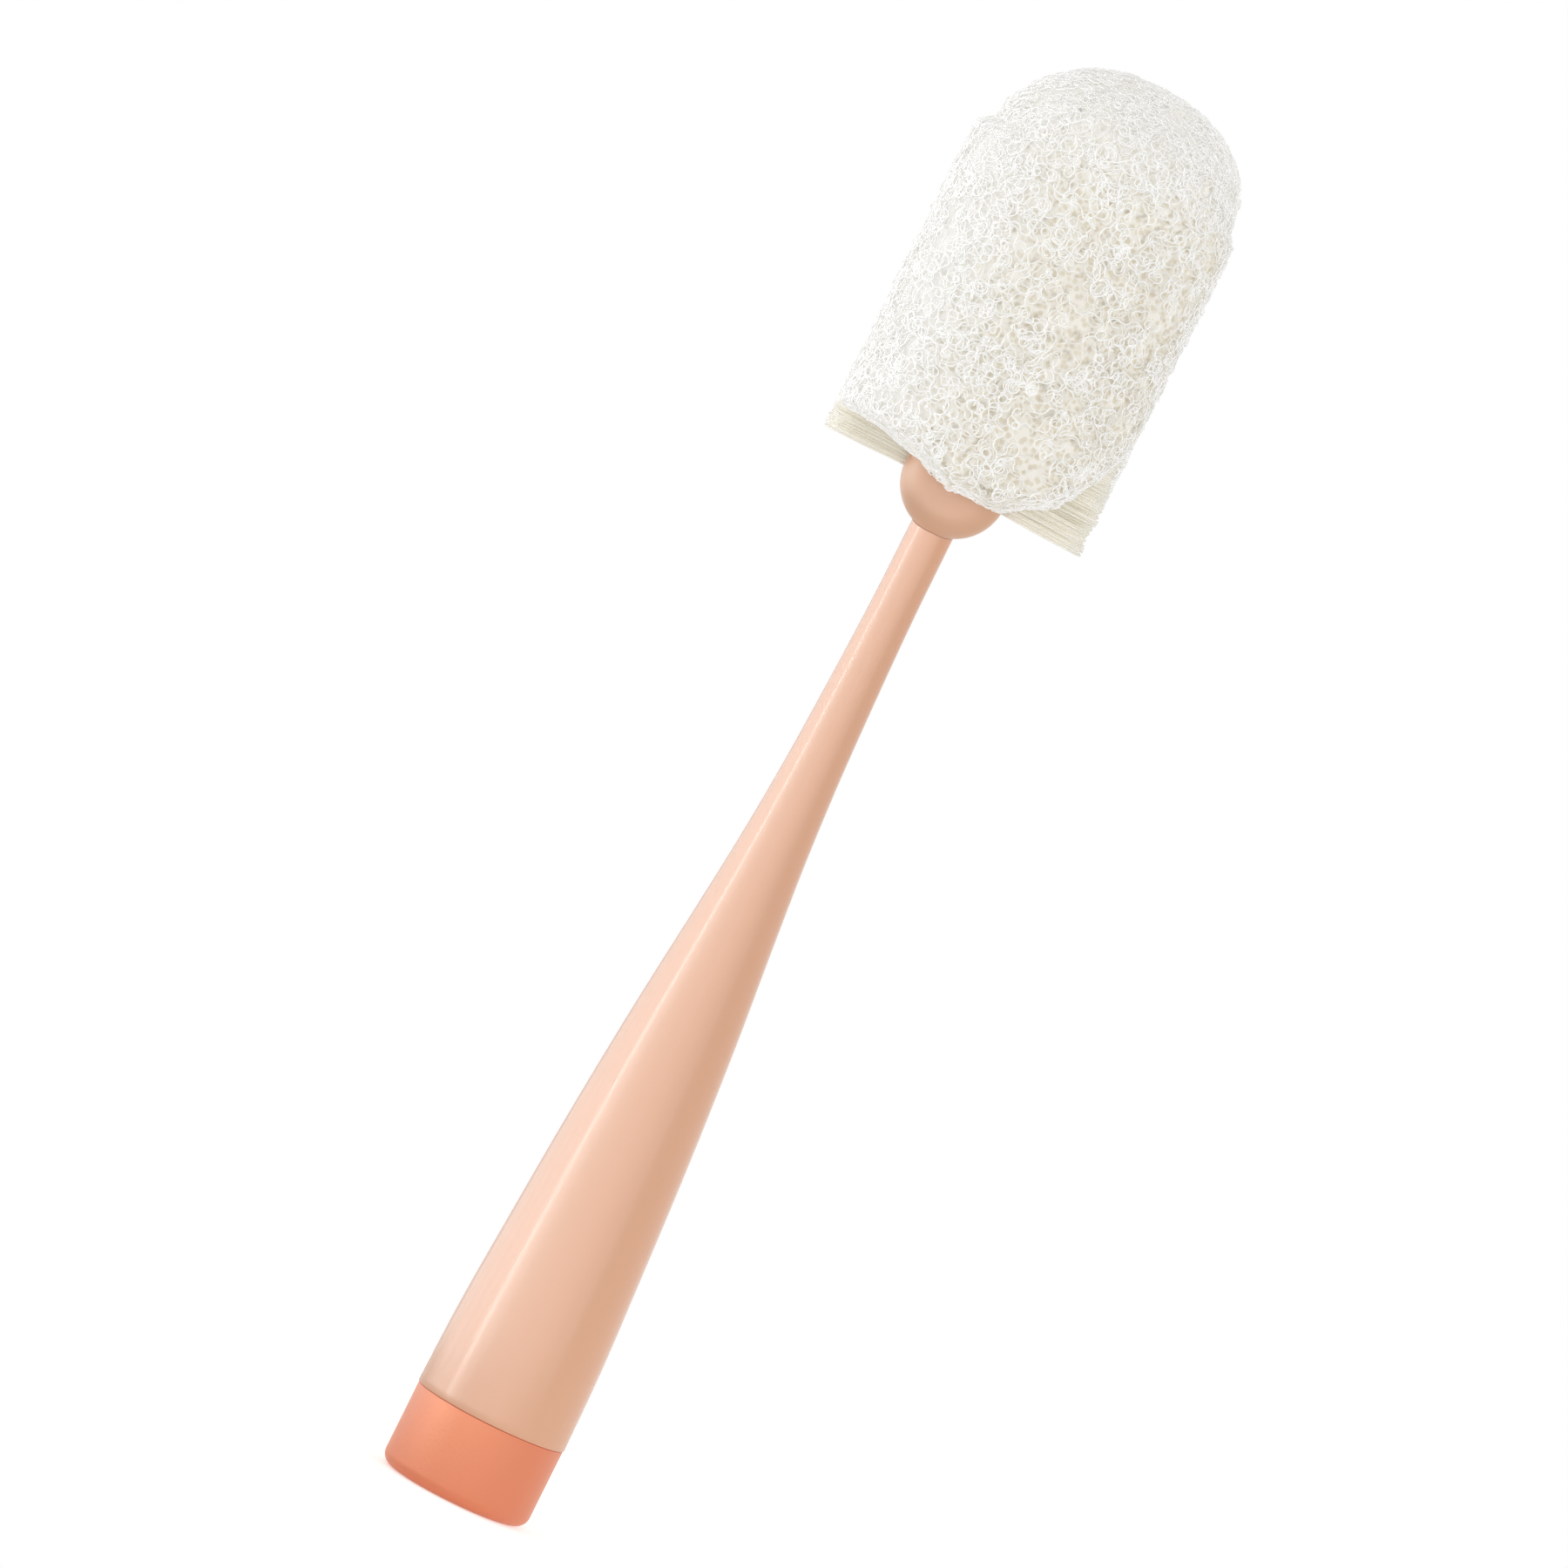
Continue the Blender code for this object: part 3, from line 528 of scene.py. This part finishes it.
# Height, and how far the dome's middle has moved to the right there
DOME_LEAN = ((269.0 * MM, 0.5 * MM), (275.0 * MM, 0.8 * MM), (279.0 * MM, 1.3 * MM))
PAD_HALF_DEPTH = pad_high.y
SHOULDER_STEP, SHOULDER_TOP = 2.6 * MM, SPINE_SHOULDER + 2.2 * MM
SECTION_POWER, ROUND_POWER, HEM_ROUND, HEM_SCALE = 2.4, 2.2, 3.5 * MM, 5
SLOT_HALF, HUB_CLEARANCE, EDGE_ROUND = 4.8 * MM, 0.6 * MM, 1.2 * MM
BODY_DEPTH, BODY_VOXEL = 0.85 * MM, 0.52 * MM
OPEN_DEPTH, HEM_DEPTH, HEM_REACH, HEM_FRAY = 0.35 * MM, 0.9 * MM, 3.0 * MM, 0.5 * MM
HELD_TO, SHOWN_TO = 3.0 * MM, 2.0 * MM  # depths down to which the body is laid to the form, and pitted
# Places across a lobe between which the web opens, and heights over which the dome closes it again
OPENS, OPEN_SHARES = (-20.0 * MM, -3.0 * MM), (0.0, 1.0)
CLOSES, CLOSE_SHARES = (264.0 * MM, 280.0 * MM), (1.0, 0.15)
# Across the front lobe from left to right, and the height of its hem there
HEM = (
    (-26.4, 210.6), (-25.0, 209.3), (-17.0, 209.7), (-11.3, 208.7), (-8.9, 208.1), (-3.9, 206.5),
    (-0.9, 205.4), (2.1, 205.7), (7.0, 205.4), (10.0, 205.9), (14.2, 208.4), (18.5, 210.6),
    (20.8, 213.6), (23.4, 218.2), (25.2, 222.6), (26.4, 226.0),
)


def hem_height(x, y):
    """Height of the hem at a place: the back lobe is the front one turned round."""
    across, heights = np.array(HEM).T * MM
    return np.interp(np.where(y < 0, x, -x), across, heights)


def blend_max(a, b):
    """The greater of two distances, with the edge between them rounded."""
    mix = np.clip(0.5 + 0.5 * (a - b) / EDGE_ROUND, 0.0, 1.0)
    return b + (a - b) * mix + EDGE_ROUND * mix * (1.0 - mix)


def pad_distance(p):
    """About how far points lie outside the folded pad, with its slot and the room for the hub taken out."""
    x, y, z = p[:, 0], p[:, 1], p[:, 2]
    shoulder = np.clip((SHOULDER_TOP - z) / SHOULDER_STEP, 0.0, 1.0)
    shoulder = shoulder * shoulder * (3 - 2 * shoulder)
    width = DOME_HALF_WIDTH + (LOBE_HALF_WIDTH - DOME_HALF_WIDTH) * shoulder
    across = x - np.interp(z, *np.array(DOME_LEAN).T) * (1.0 - shoulder)
    plan = (np.abs(across) / width) ** SECTION_POWER + (np.abs(y) / PAD_HALF_DEPTH) ** SECTION_POWER
    up = np.clip((z - DOME_FOOT) / DOME_HEIGHT, 0.0, None)
    down = np.clip((hem_height(x, y) + HEM_ROUND - z) / HEM_ROUND, 0.0, None)
    form = plan ** (ROUND_POWER / SECTION_POWER) + up**ROUND_POWER + down**ROUND_POWER
    reach = np.where(down > 0, HEM_SCALE * HEM_ROUND, DOME_HEIGHT)
    outer = (form ** (1 / ROUND_POWER) - 1.0) * reach
    slot = SLOT_HALF - np.hypot(y, np.maximum(z - SPINE_SHOULDER, 0.0))
    hub_side = np.hypot(x, z - hub_centre) - HUB_RADIUS - HUB_CLEARANCE
    hub = -np.maximum(hub_side, np.abs(y) - HUB_HALF_DEPTH - HUB_CLEARANCE)
    return blend_max(outer, np.maximum(slot, hub))


def pad_slope(p):
    """Outward direction of the pad's surface, and how steeply the distance grows there."""
    step, least = 0.02 * MM, 0.2
    slope = np.stack(
        [pad_distance(p + step * axis) - pad_distance(p - step * axis) for axis in np.eye(3)], axis=1
    ) / (2 * step)
    steep = np.maximum(np.linalg.norm(slope, axis=1, keepdims=True), least)
    return slope / steep, steep


def onto_pad(p, depth=0.0, hold=1.0, rounds=2):
    """Moves points to the pad's surface or to a depth under it, all the way or by the share they hold."""
    for _ in range(rounds):
        outward, steep = pad_slope(p)
        p = p - outward * np.clip((pad_distance(p)[:, None] + depth) / steep, -MM, MM) * hold
    return p


def openness(p):
    """How open the web is, from 0 to 1: it is closer along one edge of each lobe, and over the dome."""
    across = np.where(p[:, 1] < 0, p[:, 0], -p[:, 0])
    return np.interp(across, OPENS, OPEN_SHARES) * np.interp(p[:, 2], CLOSES, CLOSE_SHARES)


def near_hem(p):
    """How near points lie to their lobe's hem, from 0 where it is out of reach to 1."""
    return np.clip((hem_height(p[:, 0], p[:, 1]) + HEM_REACH - p[:, 2]) / HEM_REACH, 0.0, 1.0)


def settled_mesh(piece):
    """The piece's mesh with its modifiers worked in."""
    made = bpy.data.meshes.new_from_object(piece.evaluated_get(bpy.context.evaluated_depsgraph_get()))
    piece.modifiers.clear()
    return made


def places_of(mesh):
    """The places of a mesh's vertices, as rows."""
    flat = np.empty(len(mesh.vertices) * 3)
    mesh.vertices.foreach_get("co", flat)
    return flat.reshape(-1, 3)


bm = bmesh.new()
bm.from_mesh(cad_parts["mesh_pad"].data)
bmesh.ops.remove_doubles(bm, verts=bm.verts, dist=WELD)
body_mesh = bpy.data.meshes.new("pad_body")
bm.to_mesh(body_mesh)
bm.free()
pad_body = bpy.data.objects.new("pad_body", body_mesh)
scene.collection.objects.link(pad_body)
remesh = pad_body.modifiers.new("remesh", "REMESH")
remesh.mode, remesh.voxel_size, remesh.use_smooth_shade = "VOXEL", BODY_VOXEL, True
pad_body.data = settled_mesh(pad_body)
# The rivets' holes keep their place, deep inside; all that lies near the form's surface is laid to it
at = places_of(pad_body.data)
buried = -pad_distance(at)
hold = np.clip((HELD_TO - buried) / MM, 0.0, 1.0)[:, None]
under = BODY_DEPTH + OPEN_DEPTH * openness(at) + HEM_DEPTH * near_hem(at)
at = onto_pad(at, under[:, None], hold, rounds=4)
pad_body.data.vertices.foreach_set("co", at.ravel())
soften = pad_body.modifiers.new("soften", "SMOOTH")
soften.factor, soften.iterations = 0.5, 3
LUMP, LUMP_HEIGHT = 1.8 * MM, 0.4 * MM
lumps = bpy.data.textures.new("lumps", "CLOUDS")
lumps.noise_scale, lumps.noise_depth = LUMP, 2
raise_lumps = pad_body.modifiers.new("lumps", "DISPLACE")
raise_lumps.texture, raise_lumps.texture_coords = lumps, "LOCAL"
raise_lumps.strength, raise_lumps.mid_level = LUMP_HEIGHT, 0.5
pad_body.data = settled_mesh(pad_body)

PITS, PIT_RADIUS, PIT_DEPTH = 3600, (0.40 * MM, 0.65 * MM), (0.4 * MM, 0.9 * MM)
CLOSED_CHANCE = 0.1  # of a pit where the web is closed, to 1 more where it is open
PIT_SEED = 3
rng = np.random.default_rng(PIT_SEED)
at = places_of(pad_body.data)
outward, _ = pad_slope(at)
shown = np.flatnonzero((-pad_distance(at) < SHOWN_TO) & (np.abs(at[:, 1]) > SLOT_HALF + MM))
finder = KDTree(len(at))
for number, place in enumerate(at):
    finder.insert(place, number)
finder.balance()
sunk = np.zeros(len(at))
chance = CLOSED_CHANCE + openness(at[shown])
for number in rng.choice(shown, PITS, replace=False, p=chance / chance.sum()):
    radius, depth = rng.uniform(*PIT_RADIUS), rng.uniform(*PIT_DEPTH)
    for _, other, away_from in finder.find_range(at[number], radius):
        sunk[other] = max(sunk[other], depth * (1.0 - (away_from / radius) ** 2))
pad_body.data.vertices.foreach_set("co", (at - outward * sunk[:, None]).ravel())
# The pits' depth and the web's openness go to the inner web's material, which paints shade by them.
for label, values in (("pit", sunk / MM), ("open", openness(at))):
    pad_body.data.attributes.new(label, "FLOAT", "POINT").data.foreach_set("value", values)
pad_body.data.shade_smooth()
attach(pad_body, "head")
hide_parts("mesh_pad")


def inner_web():
    """Soft cream web: painted shade in its cells where it is open and in its pits, and a painted glow."""
    material = bpy.data.materials.new("inner_web")
    material.use_nodes = True
    tree = material.node_tree
    shader = tree.nodes["Principled BSDF"]
    shader.inputs["Roughness"].default_value = 0.75
    shader.inputs["Specular IOR Level"].default_value = 0.3
    # Painted glow: emission in the web's own colour stands in for light passed on inside.
    shader.inputs["Emission Strength"].default_value = 0.14
    place = tree.nodes.new("ShaderNodeTexCoord")
    # Painted shade: dark spots in the open web for the shade in its holes, darker still in the pits.
    cells = tree.nodes.new("ShaderNodeTexVoronoi")
    cells.feature = "F1"
    cells.inputs["Scale"].default_value = 850.0
    hole_shade = tree.nodes.new("ShaderNodeValToRGB")
    middle, rim = hole_shade.color_ramp.elements
    middle.position, middle.color = 0.30, (1.0, 1.0, 1.0, 1.0)
    rim.position, rim.color = 0.56, (0.18, 0.18, 0.18, 1.0)
    open_web, sunk_web = (tree.nodes.new("ShaderNodeAttribute") for _ in range(2))
    open_web.attribute_name, sunk_web.attribute_name = "open", "pit"
    where_open = tree.nodes.new("ShaderNodeMath")
    where_open.operation = "MULTIPLY"
    pit_and_hole_shade = tree.nodes.new("ShaderNodeMath")
    pit_and_hole_shade.operation, pit_and_hole_shade.use_clamp = "MULTIPLY_ADD", True
    pit_and_hole_shade.inputs[1].default_value = 0.45
    # Closed web lighter, open web darker and yellower: painted shade where the web is open.
    closed_or_open, painted_shade = (tree.nodes.new("ShaderNodeMix") for _ in range(2))
    closed_or_open.data_type = painted_shade.data_type = "RGBA"
    closed_or_open.inputs[6].default_value = (0.925, 0.92, 0.90, 1.0)
    closed_or_open.inputs[7].default_value = (0.90, 0.88, 0.83, 1.0)
    painted_shade.inputs[7].default_value = (0.745, 0.69, 0.57, 1.0)
    dent = tree.nodes.new("ShaderNodeBump")
    dent.inputs["Strength"].default_value = 0.6
    dent.inputs["Distance"].default_value = 0.0003
    for given, taken in (
        (place.outputs["Object"], cells.inputs["Vector"]),
        (cells.outputs["Distance"], hole_shade.inputs["Fac"]),
        (hole_shade.outputs["Color"], where_open.inputs[0]),
        (open_web.outputs["Fac"], where_open.inputs[1]),
        (open_web.outputs["Fac"], closed_or_open.inputs["Factor"]),
        (closed_or_open.outputs[2], painted_shade.inputs[6]),
        (sunk_web.outputs["Fac"], pit_and_hole_shade.inputs[0]),
        (where_open.outputs["Value"], pit_and_hole_shade.inputs[2]),
        (pit_and_hole_shade.outputs["Value"], painted_shade.inputs["Factor"]),
        (painted_shade.outputs[2], shader.inputs["Base Color"]),
        (painted_shade.outputs[2], shader.inputs["Emission Color"]),
        (cells.outputs["Distance"], dent.inputs["Height"]),
        (dent.outputs["Normal"], shader.inputs["Normal"]),
    ):
        tree.links.new(given, taken)
    return material


pad_body.data.materials.clear()
pad_body.data.materials.append(inner_web())


# Curly mesh: long white strands that wander over the folded pad, bend this way and that in short arcs
# and cross in layers, as in a web that is not woven. Each strand walks over the pad's surface, round its
# edges into the slot of the bristles, and rises and sinks as it goes. A few stray loops stand out, and the
# lobes' hems are pressed into a thicker edge.
SLOT_DEPTH_HIDDEN, HEM_SHOWN = 6.0 * MM, 214.0 * MM
GUESSES, START_REACH, THINNED = 20, 0.7 * MM, 0.5  # tries a strand, how near the form, share left out
STRAND_FLIP, STRAND_OFF = 2.6 * MM, 1.25 * MM  # mean length between two changes of bend, most height
WOBBLE, WOBBLE_KEPT, LOOSE = 0.32, 0.7, (0.3, 0.7)  # loose where closed, and what openness adds
# Waves along a strand: their pace a millimetre, and their level and swing between the layer's depths
PACE, LEVEL, SWING = (0.9, 2.0), (0.25, 0.75), (0.1, 0.25)
UNEVEN = (0.8, 1.2)  # a strand's thickness along its length


def walk(rng, count, steps, step, bend, top, bottom):
    """Up to count bending walks over the pad, each of so many steps, between two depths."""
    start = np.empty((0, 3))
    while len(start) < count:
        low, high = np.array(pad_low) - 2 * MM, np.array(pad_high) + 2 * MM
        guess = rng.uniform(low, high, (count * GUESSES, 3))
        _, steep = pad_slope(guess)
        near = np.abs(pad_distance(guess) / steep[:, 0]) < START_REACH
        inside = np.abs(guess[:, 0]) < LOBE_HALF_WIDTH - SLOT_DEPTH_HIDDEN
        inside &= np.hypot(guess[:, 1], np.maximum(guess[:, 2] - SPINE_SHOULDER, 0.0)) < SLOT_HALF + MM
        near &= ~(inside & (guess[:, 2] > HEM_SHOWN))
        near &= rng.uniform(size=len(guess)) > THINNED * openness(guess)
        start = np.vstack([start, guess[near]])
    at = onto_pad(start[:count])
    outward, _ = pad_slope(at)
    heading = np.cross(outward, rng.normal(size=(count, 3)))
    heading /= np.linalg.norm(heading, axis=1, keepdims=True)
    radius = rng.uniform(*bend, count)
    sense = rng.choice([-1.0, 1.0], count)
    wobble = rng.normal(size=count)
    phase, pace = rng.uniform(0, math.tau, count), rng.uniform(*PACE, count) / MM
    level, swing = rng.uniform(*LEVEL, count), rng.uniform(*SWING, count)
    fray = rng.normal(0, HEM_FRAY, count)
    points = np.empty((count, steps, 3))
    for k in range(steps):
        loose = LOOSE[0] + LOOSE[1] * openness(at)
        wave = 0.5 + loose * (level - 0.5 + swing * np.sin(phase + pace * step * k))
        points[:, k] = at - outward * (top + (bottom - top) * wave)[:, None]
        points[:, k, 2] -= fray * near_hem(at)
        flip = rng.uniform(size=count) < step / STRAND_FLIP
        sense = np.where(flip, -sense, sense)
        radius = np.where(flip, rng.uniform(*bend, count), radius)
        wobble = WOBBLE_KEPT * wobble + WOBBLE_KEPT * rng.normal(size=count)
        turn = (sense / radius * (1.0 + WOBBLE * wobble) * step)[:, None]
        heading = heading * np.cos(turn) + np.cross(outward, heading) * np.sin(turn)
        at = onto_pad(at + heading * step)
        outward, _ = pad_slope(at)
        heading -= outward * np.sum(heading * outward, axis=1, keepdims=True)
        heading /= np.maximum(np.linalg.norm(heading, axis=1, keepdims=True), 1e-9)
    # A strand that overshot a sharp edge and stands off the web is left out
    off = pad_distance(points.reshape(-1, 3)).reshape(count, steps).max(axis=1)
    return points[off < STRAND_OFF]


def strands(name, points, thickness, rng):
    """Square-sectioned tubes along rows of points, a little thicker and thinner as they go, as one mesh."""
    curve = bpy.data.curves.new(name, "CURVE")
    curve.dimensions = "3D"
    curve.bevel_depth, curve.bevel_resolution, curve.use_fill_caps = thickness / 2, 0, True
    for row in points:
        spline = curve.splines.new("POLY")
        spline.points.add(len(row) - 1)
        spline.points.foreach_set("co", np.hstack([row, np.ones((len(row), 1))]).ravel())
        spline.points.foreach_set("radius", rng.uniform(*UNEVEN, len(row)))
    drawn = bpy.data.objects.new(name, curve)
    scene.collection.objects.link(drawn)
    mesh = bpy.data.meshes.new_from_object(
        drawn.evaluated_get(bpy.context.evaluated_depsgraph_get())
    )
    bpy.data.objects.remove(drawn)
    # The curve's caps come loose, so they are welded on
    bm = bmesh.new()
    bm.from_mesh(mesh)
    bmesh.ops.remove_doubles(bm, verts=bm.verts, dist=WELD)
    bm.to_mesh(mesh)
    bm.free()
    mesh.name = name
    mesh.shade_smooth()
    piece = bpy.data.objects.new(name, mesh)
    scene.collection.objects.link(piece)
    return piece


def strand_plastic(name, light, shade, grain, painted_glow, roughness):
    """Milky nylon strand: a tint along its length, a soft gloss, and a painted glow for light inside."""
    material = bpy.data.materials.new(name)
    material.use_nodes = True
    tree = material.node_tree
    shader = tree.nodes["Principled BSDF"]
    shader.inputs["Roughness"].default_value = roughness
    shader.inputs["Specular IOR Level"].default_value = 0.55
    # Painted glow: emission in the strand's own colour stands in for light passed on inside.
    shader.inputs["Emission Strength"].default_value = painted_glow
    place = tree.nodes.new("ShaderNodeTexCoord")
    tint = tree.nodes.new("ShaderNodeTexNoise")
    tint.inputs["Scale"].default_value = 1.0
    tint.inputs["Detail"].default_value = 4.0
    stretch = tree.nodes.new("ShaderNodeMapping")
    stretch.inputs["Scale"].default_value = grain
    blend = tree.nodes.new("ShaderNodeMix")
    blend.data_type = "RGBA"
    blend.inputs[6].default_value = (*light, 1.0)
    blend.inputs[7].default_value = (*shade, 1.0)
    tree.links.new(place.outputs["Object"], stretch.inputs["Vector"])
    tree.links.new(stretch.outputs["Vector"], tint.inputs["Vector"])
    tree.links.new(tint.outputs["Fac"], blend.inputs["Factor"])
    tree.links.new(blend.outputs[2], shader.inputs["Base Color"])
    tree.links.new(blend.outputs[2], shader.inputs["Emission Color"])
    return material


def zones(middle):
    """The pad's six zones, each with the strands whose middle lies in it."""
    dome, front, left = middle[:, 2] > DOME_FOOT, middle[:, 1] < 0, middle[:, 0] < 0
    return (
        ("dome_front", dome & front),
        ("dome_back", dome & ~front),
        ("front_left", ~dome & front & left),
        ("front_right", ~dome & front & ~left),
        ("back_left", ~dome & ~front & left),
        ("back_right", ~dome & ~front & ~left),
    )


CURL_SEED = 7
rng = np.random.default_rng(CURL_SEED)
white_strand = strand_plastic(
    "white_strand", (0.925, 0.925, 0.918), (0.905, 0.90, 0.885), (300.0, 300.0, 300.0), 0.15, 0.42
)
# The middle layer's finish: a darker, warmer copy of the white one, painted shade under the outer strands.
shaded_strand = strand_plastic(
    "shaded_strand", (0.895, 0.88, 0.845), (0.85, 0.825, 0.77), (300.0, 300.0, 300.0), 0.11, 0.5
)
# A lighter copy of it, painted light, for the middle strands where the web is closed and over the dome.
lit_strand = strand_plastic(
    "lit_strand", (0.895, 0.89, 0.868), (0.868, 0.855, 0.822), (300.0, 300.0, 300.0), 0.14, 0.5
)
OPEN_ZONES = ("front_right", "back_left")
# Layer, strands, points on each, step, range of bend radii, depth at the wave's top and bottom, thickness
# and finish
LAYERS = (
    ("stray", 420, 28, 0.28 * MM, (0.5 * MM, 1.2 * MM), -0.55 * MM, 0.2 * MM, 0.24 * MM, white_strand),
    ("outer", 2250, 39, 0.29 * MM, (0.6 * MM, 1.6 * MM), -0.25 * MM, 0.4 * MM, 0.26 * MM, white_strand),
    ("middle", 2150, 39, 0.30 * MM, (0.6 * MM, 1.8 * MM), 0.25 * MM, 0.9 * MM, 0.29 * MM, shaded_strand),
)
for layer, count, steps, step, bend, top, bottom, thickness, finish in LAYERS:
    points = walk(rng, count, steps, step, bend, top, bottom)
    for zone, chosen in zones(points.mean(axis=1)):
        curls = strands(f"curls_{layer}_{zone}", points[chosen], thickness, rng)
        # Where the web is closed, the middle strands take the lighter copy: painted light.
        lit_copy = layer == "middle" and zone not in OPEN_ZONES
        curls.data.materials.append(lit_strand if lit_copy else finish)
        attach(curls, "head")
        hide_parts("mesh_pad")

# The pressed edge: a few thicker strands that melted together along each lobe's hem, over the hub
HEM_STRANDS, HEM_POINTS, HEM_SPAN = 5, 60, (-11.0, 7.0)
HEM_START, HEM_STEP, HEM_LIFT, HEM_THICKNESS = 9.0 * MM, 1.6 * MM, 0.6 * MM, 0.6 * MM
SWAY, RISE, SWAY_WINDOW, RISE_WINDOW = 1.0 * MM, 1.2 * MM, 7, 5


def drift(rng, size, window):
    """A slow wander along a hem strand: random steps, evened out over a window of points."""
    steps = rng.normal(0, size, HEM_POINTS + window - 1)
    return np.convolve(steps, np.ones(window) / window, "valid")


for side, zone in ((-1, "front"), (1, "back")):
    rows = []
    for k in range(HEM_STRANDS):
        along = np.linspace(*HEM_SPAN, HEM_POINTS) * MM
        deep = -HEM_START - HEM_STEP * k + 2 * drift(rng, SWAY, SWAY_WINDOW)
        rise = drift(rng, RISE, RISE_WINDOW)
        y = -side * deep
        row = np.stack([-side * along, y, hem_height(-side * along, y) - MM], axis=1)
        row = onto_pad(row, rounds=4)
        row[:, 2] += HEM_LIFT + np.abs(rise)
        rows.append(row)
    hem = strands(f"hem_{zone}", np.stack(rows), HEM_THICKNESS, rng)
    hem.data.materials.append(white_strand)
    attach(hem, "head")
    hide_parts("mesh_pad")


# Bristles: a band of straight cream nylon fibres that runs through the head from side to side. They are
# held in the spine's edge grooves, fan out to the tips, and show under the pad at both sides. They are
# cut to length roughly, in tufts, and higher up their tips end inside the pad's edges.
FIBRE, FIBRES, FIBRE_POINTS = 0.26 * MM, 2000, 5
FIBRE_ROOT, ROOT_HALF, FAN = 7.6 * MM, 2.3 * MM, 2.05
TUFT_ROWS, TUFTS_DEEP, TUFT_LEAN, TUFT_RAGGED = 64, 3, 0.25 * MM, 2.8
STRAY_SIDE, STRAY_HEIGHT, STRAY_LENGTH, BOW = 0.15 * MM, 0.1 * MM, 0.45 * MM, 0.12 * MM
HIDING_HEIGHT, HIDDEN, FIBRE_SEED = 3.0 * MM, 0.9 * MM, 11
# The fibres' finish has a painted glow of 0.15 for light passed through them.
cream_fibre = strand_plastic(
    "cream_fibre", (0.97, 0.955, 0.905), (0.78, 0.74, 0.62), (25.0, 900.0, 900.0), 0.15, 0.45
)
# Side, node, lowest root, lowest tip, and the height up to which the tips stand out of the pad
for side, node, low_root, low_tip, shown_to in (
    (1, "right_bristles", 205.8 * MM, 205.2 * MM, 217.0 * MM),
    (-1, "left_bristles", 205.9 * MM, 206.0 * MM, 213.0 * MM),
):
    rng = np.random.default_rng(FIBRE_SEED + side)
    share = rng.uniform(0.0, 1.0, FIBRES)
    root_y = rng.uniform(-ROOT_HALF, ROOT_HALF, FIBRES)
    root_z = low_root + share * (band_high.z - FIBRE - low_root)
    tip_z = low_tip + share * (band_high.z - FIBRE - low_tip)
    tuft = (share * TUFT_ROWS).astype(int) * TUFTS_DEEP + rng.integers(0, TUFTS_DEEP, FIBRES)
    # How far each tuft leans across, up and back
    lean = rng.normal(0, TUFT_LEAN, ((TUFT_ROWS + 1) * TUFTS_DEEP, 3))
    tip_y = root_y * FAN + rng.normal(0, STRAY_SIDE, FIBRES) + lean[tuft, 0]
    tip_z = np.maximum(tip_z + rng.normal(0, STRAY_HEIGHT, FIBRES) + lean[tuft, 1], low_tip)
    inside = np.clip((tip_z - shown_to) / HIDING_HEIGHT, 0.0, 1.0) * HIDDEN
    ragged = np.abs(rng.normal(0, STRAY_LENGTH, FIBRES)) + TUFT_RAGGED * np.abs(lean[tuft, 2])
    tip_x = band_high.x - inside - ragged
    bow = rng.normal(0, BOW, (FIBRES, 2))
    rows = []
    for k in range(FIBRE_POINTS):
        along = k / (FIBRE_POINTS - 1)
        swell = math.sin(along * math.pi)
        x = FIBRE_ROOT + (tip_x - FIBRE_ROOT) * along
        y = root_y + (tip_y - root_y) * along + bow[:, 0] * swell
        z = root_z + (tip_z - root_z) * along + bow[:, 1] * swell
        rows.append(np.stack([side * x, y, z], axis=1))
    fibres = strands(f"fibres_{'right' if side > 0 else 'left'}", np.stack(rows, axis=1), FIBRE, rng)
    fibres.data.materials.append(cream_fibre)
    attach(fibres, "head")
    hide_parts(node)
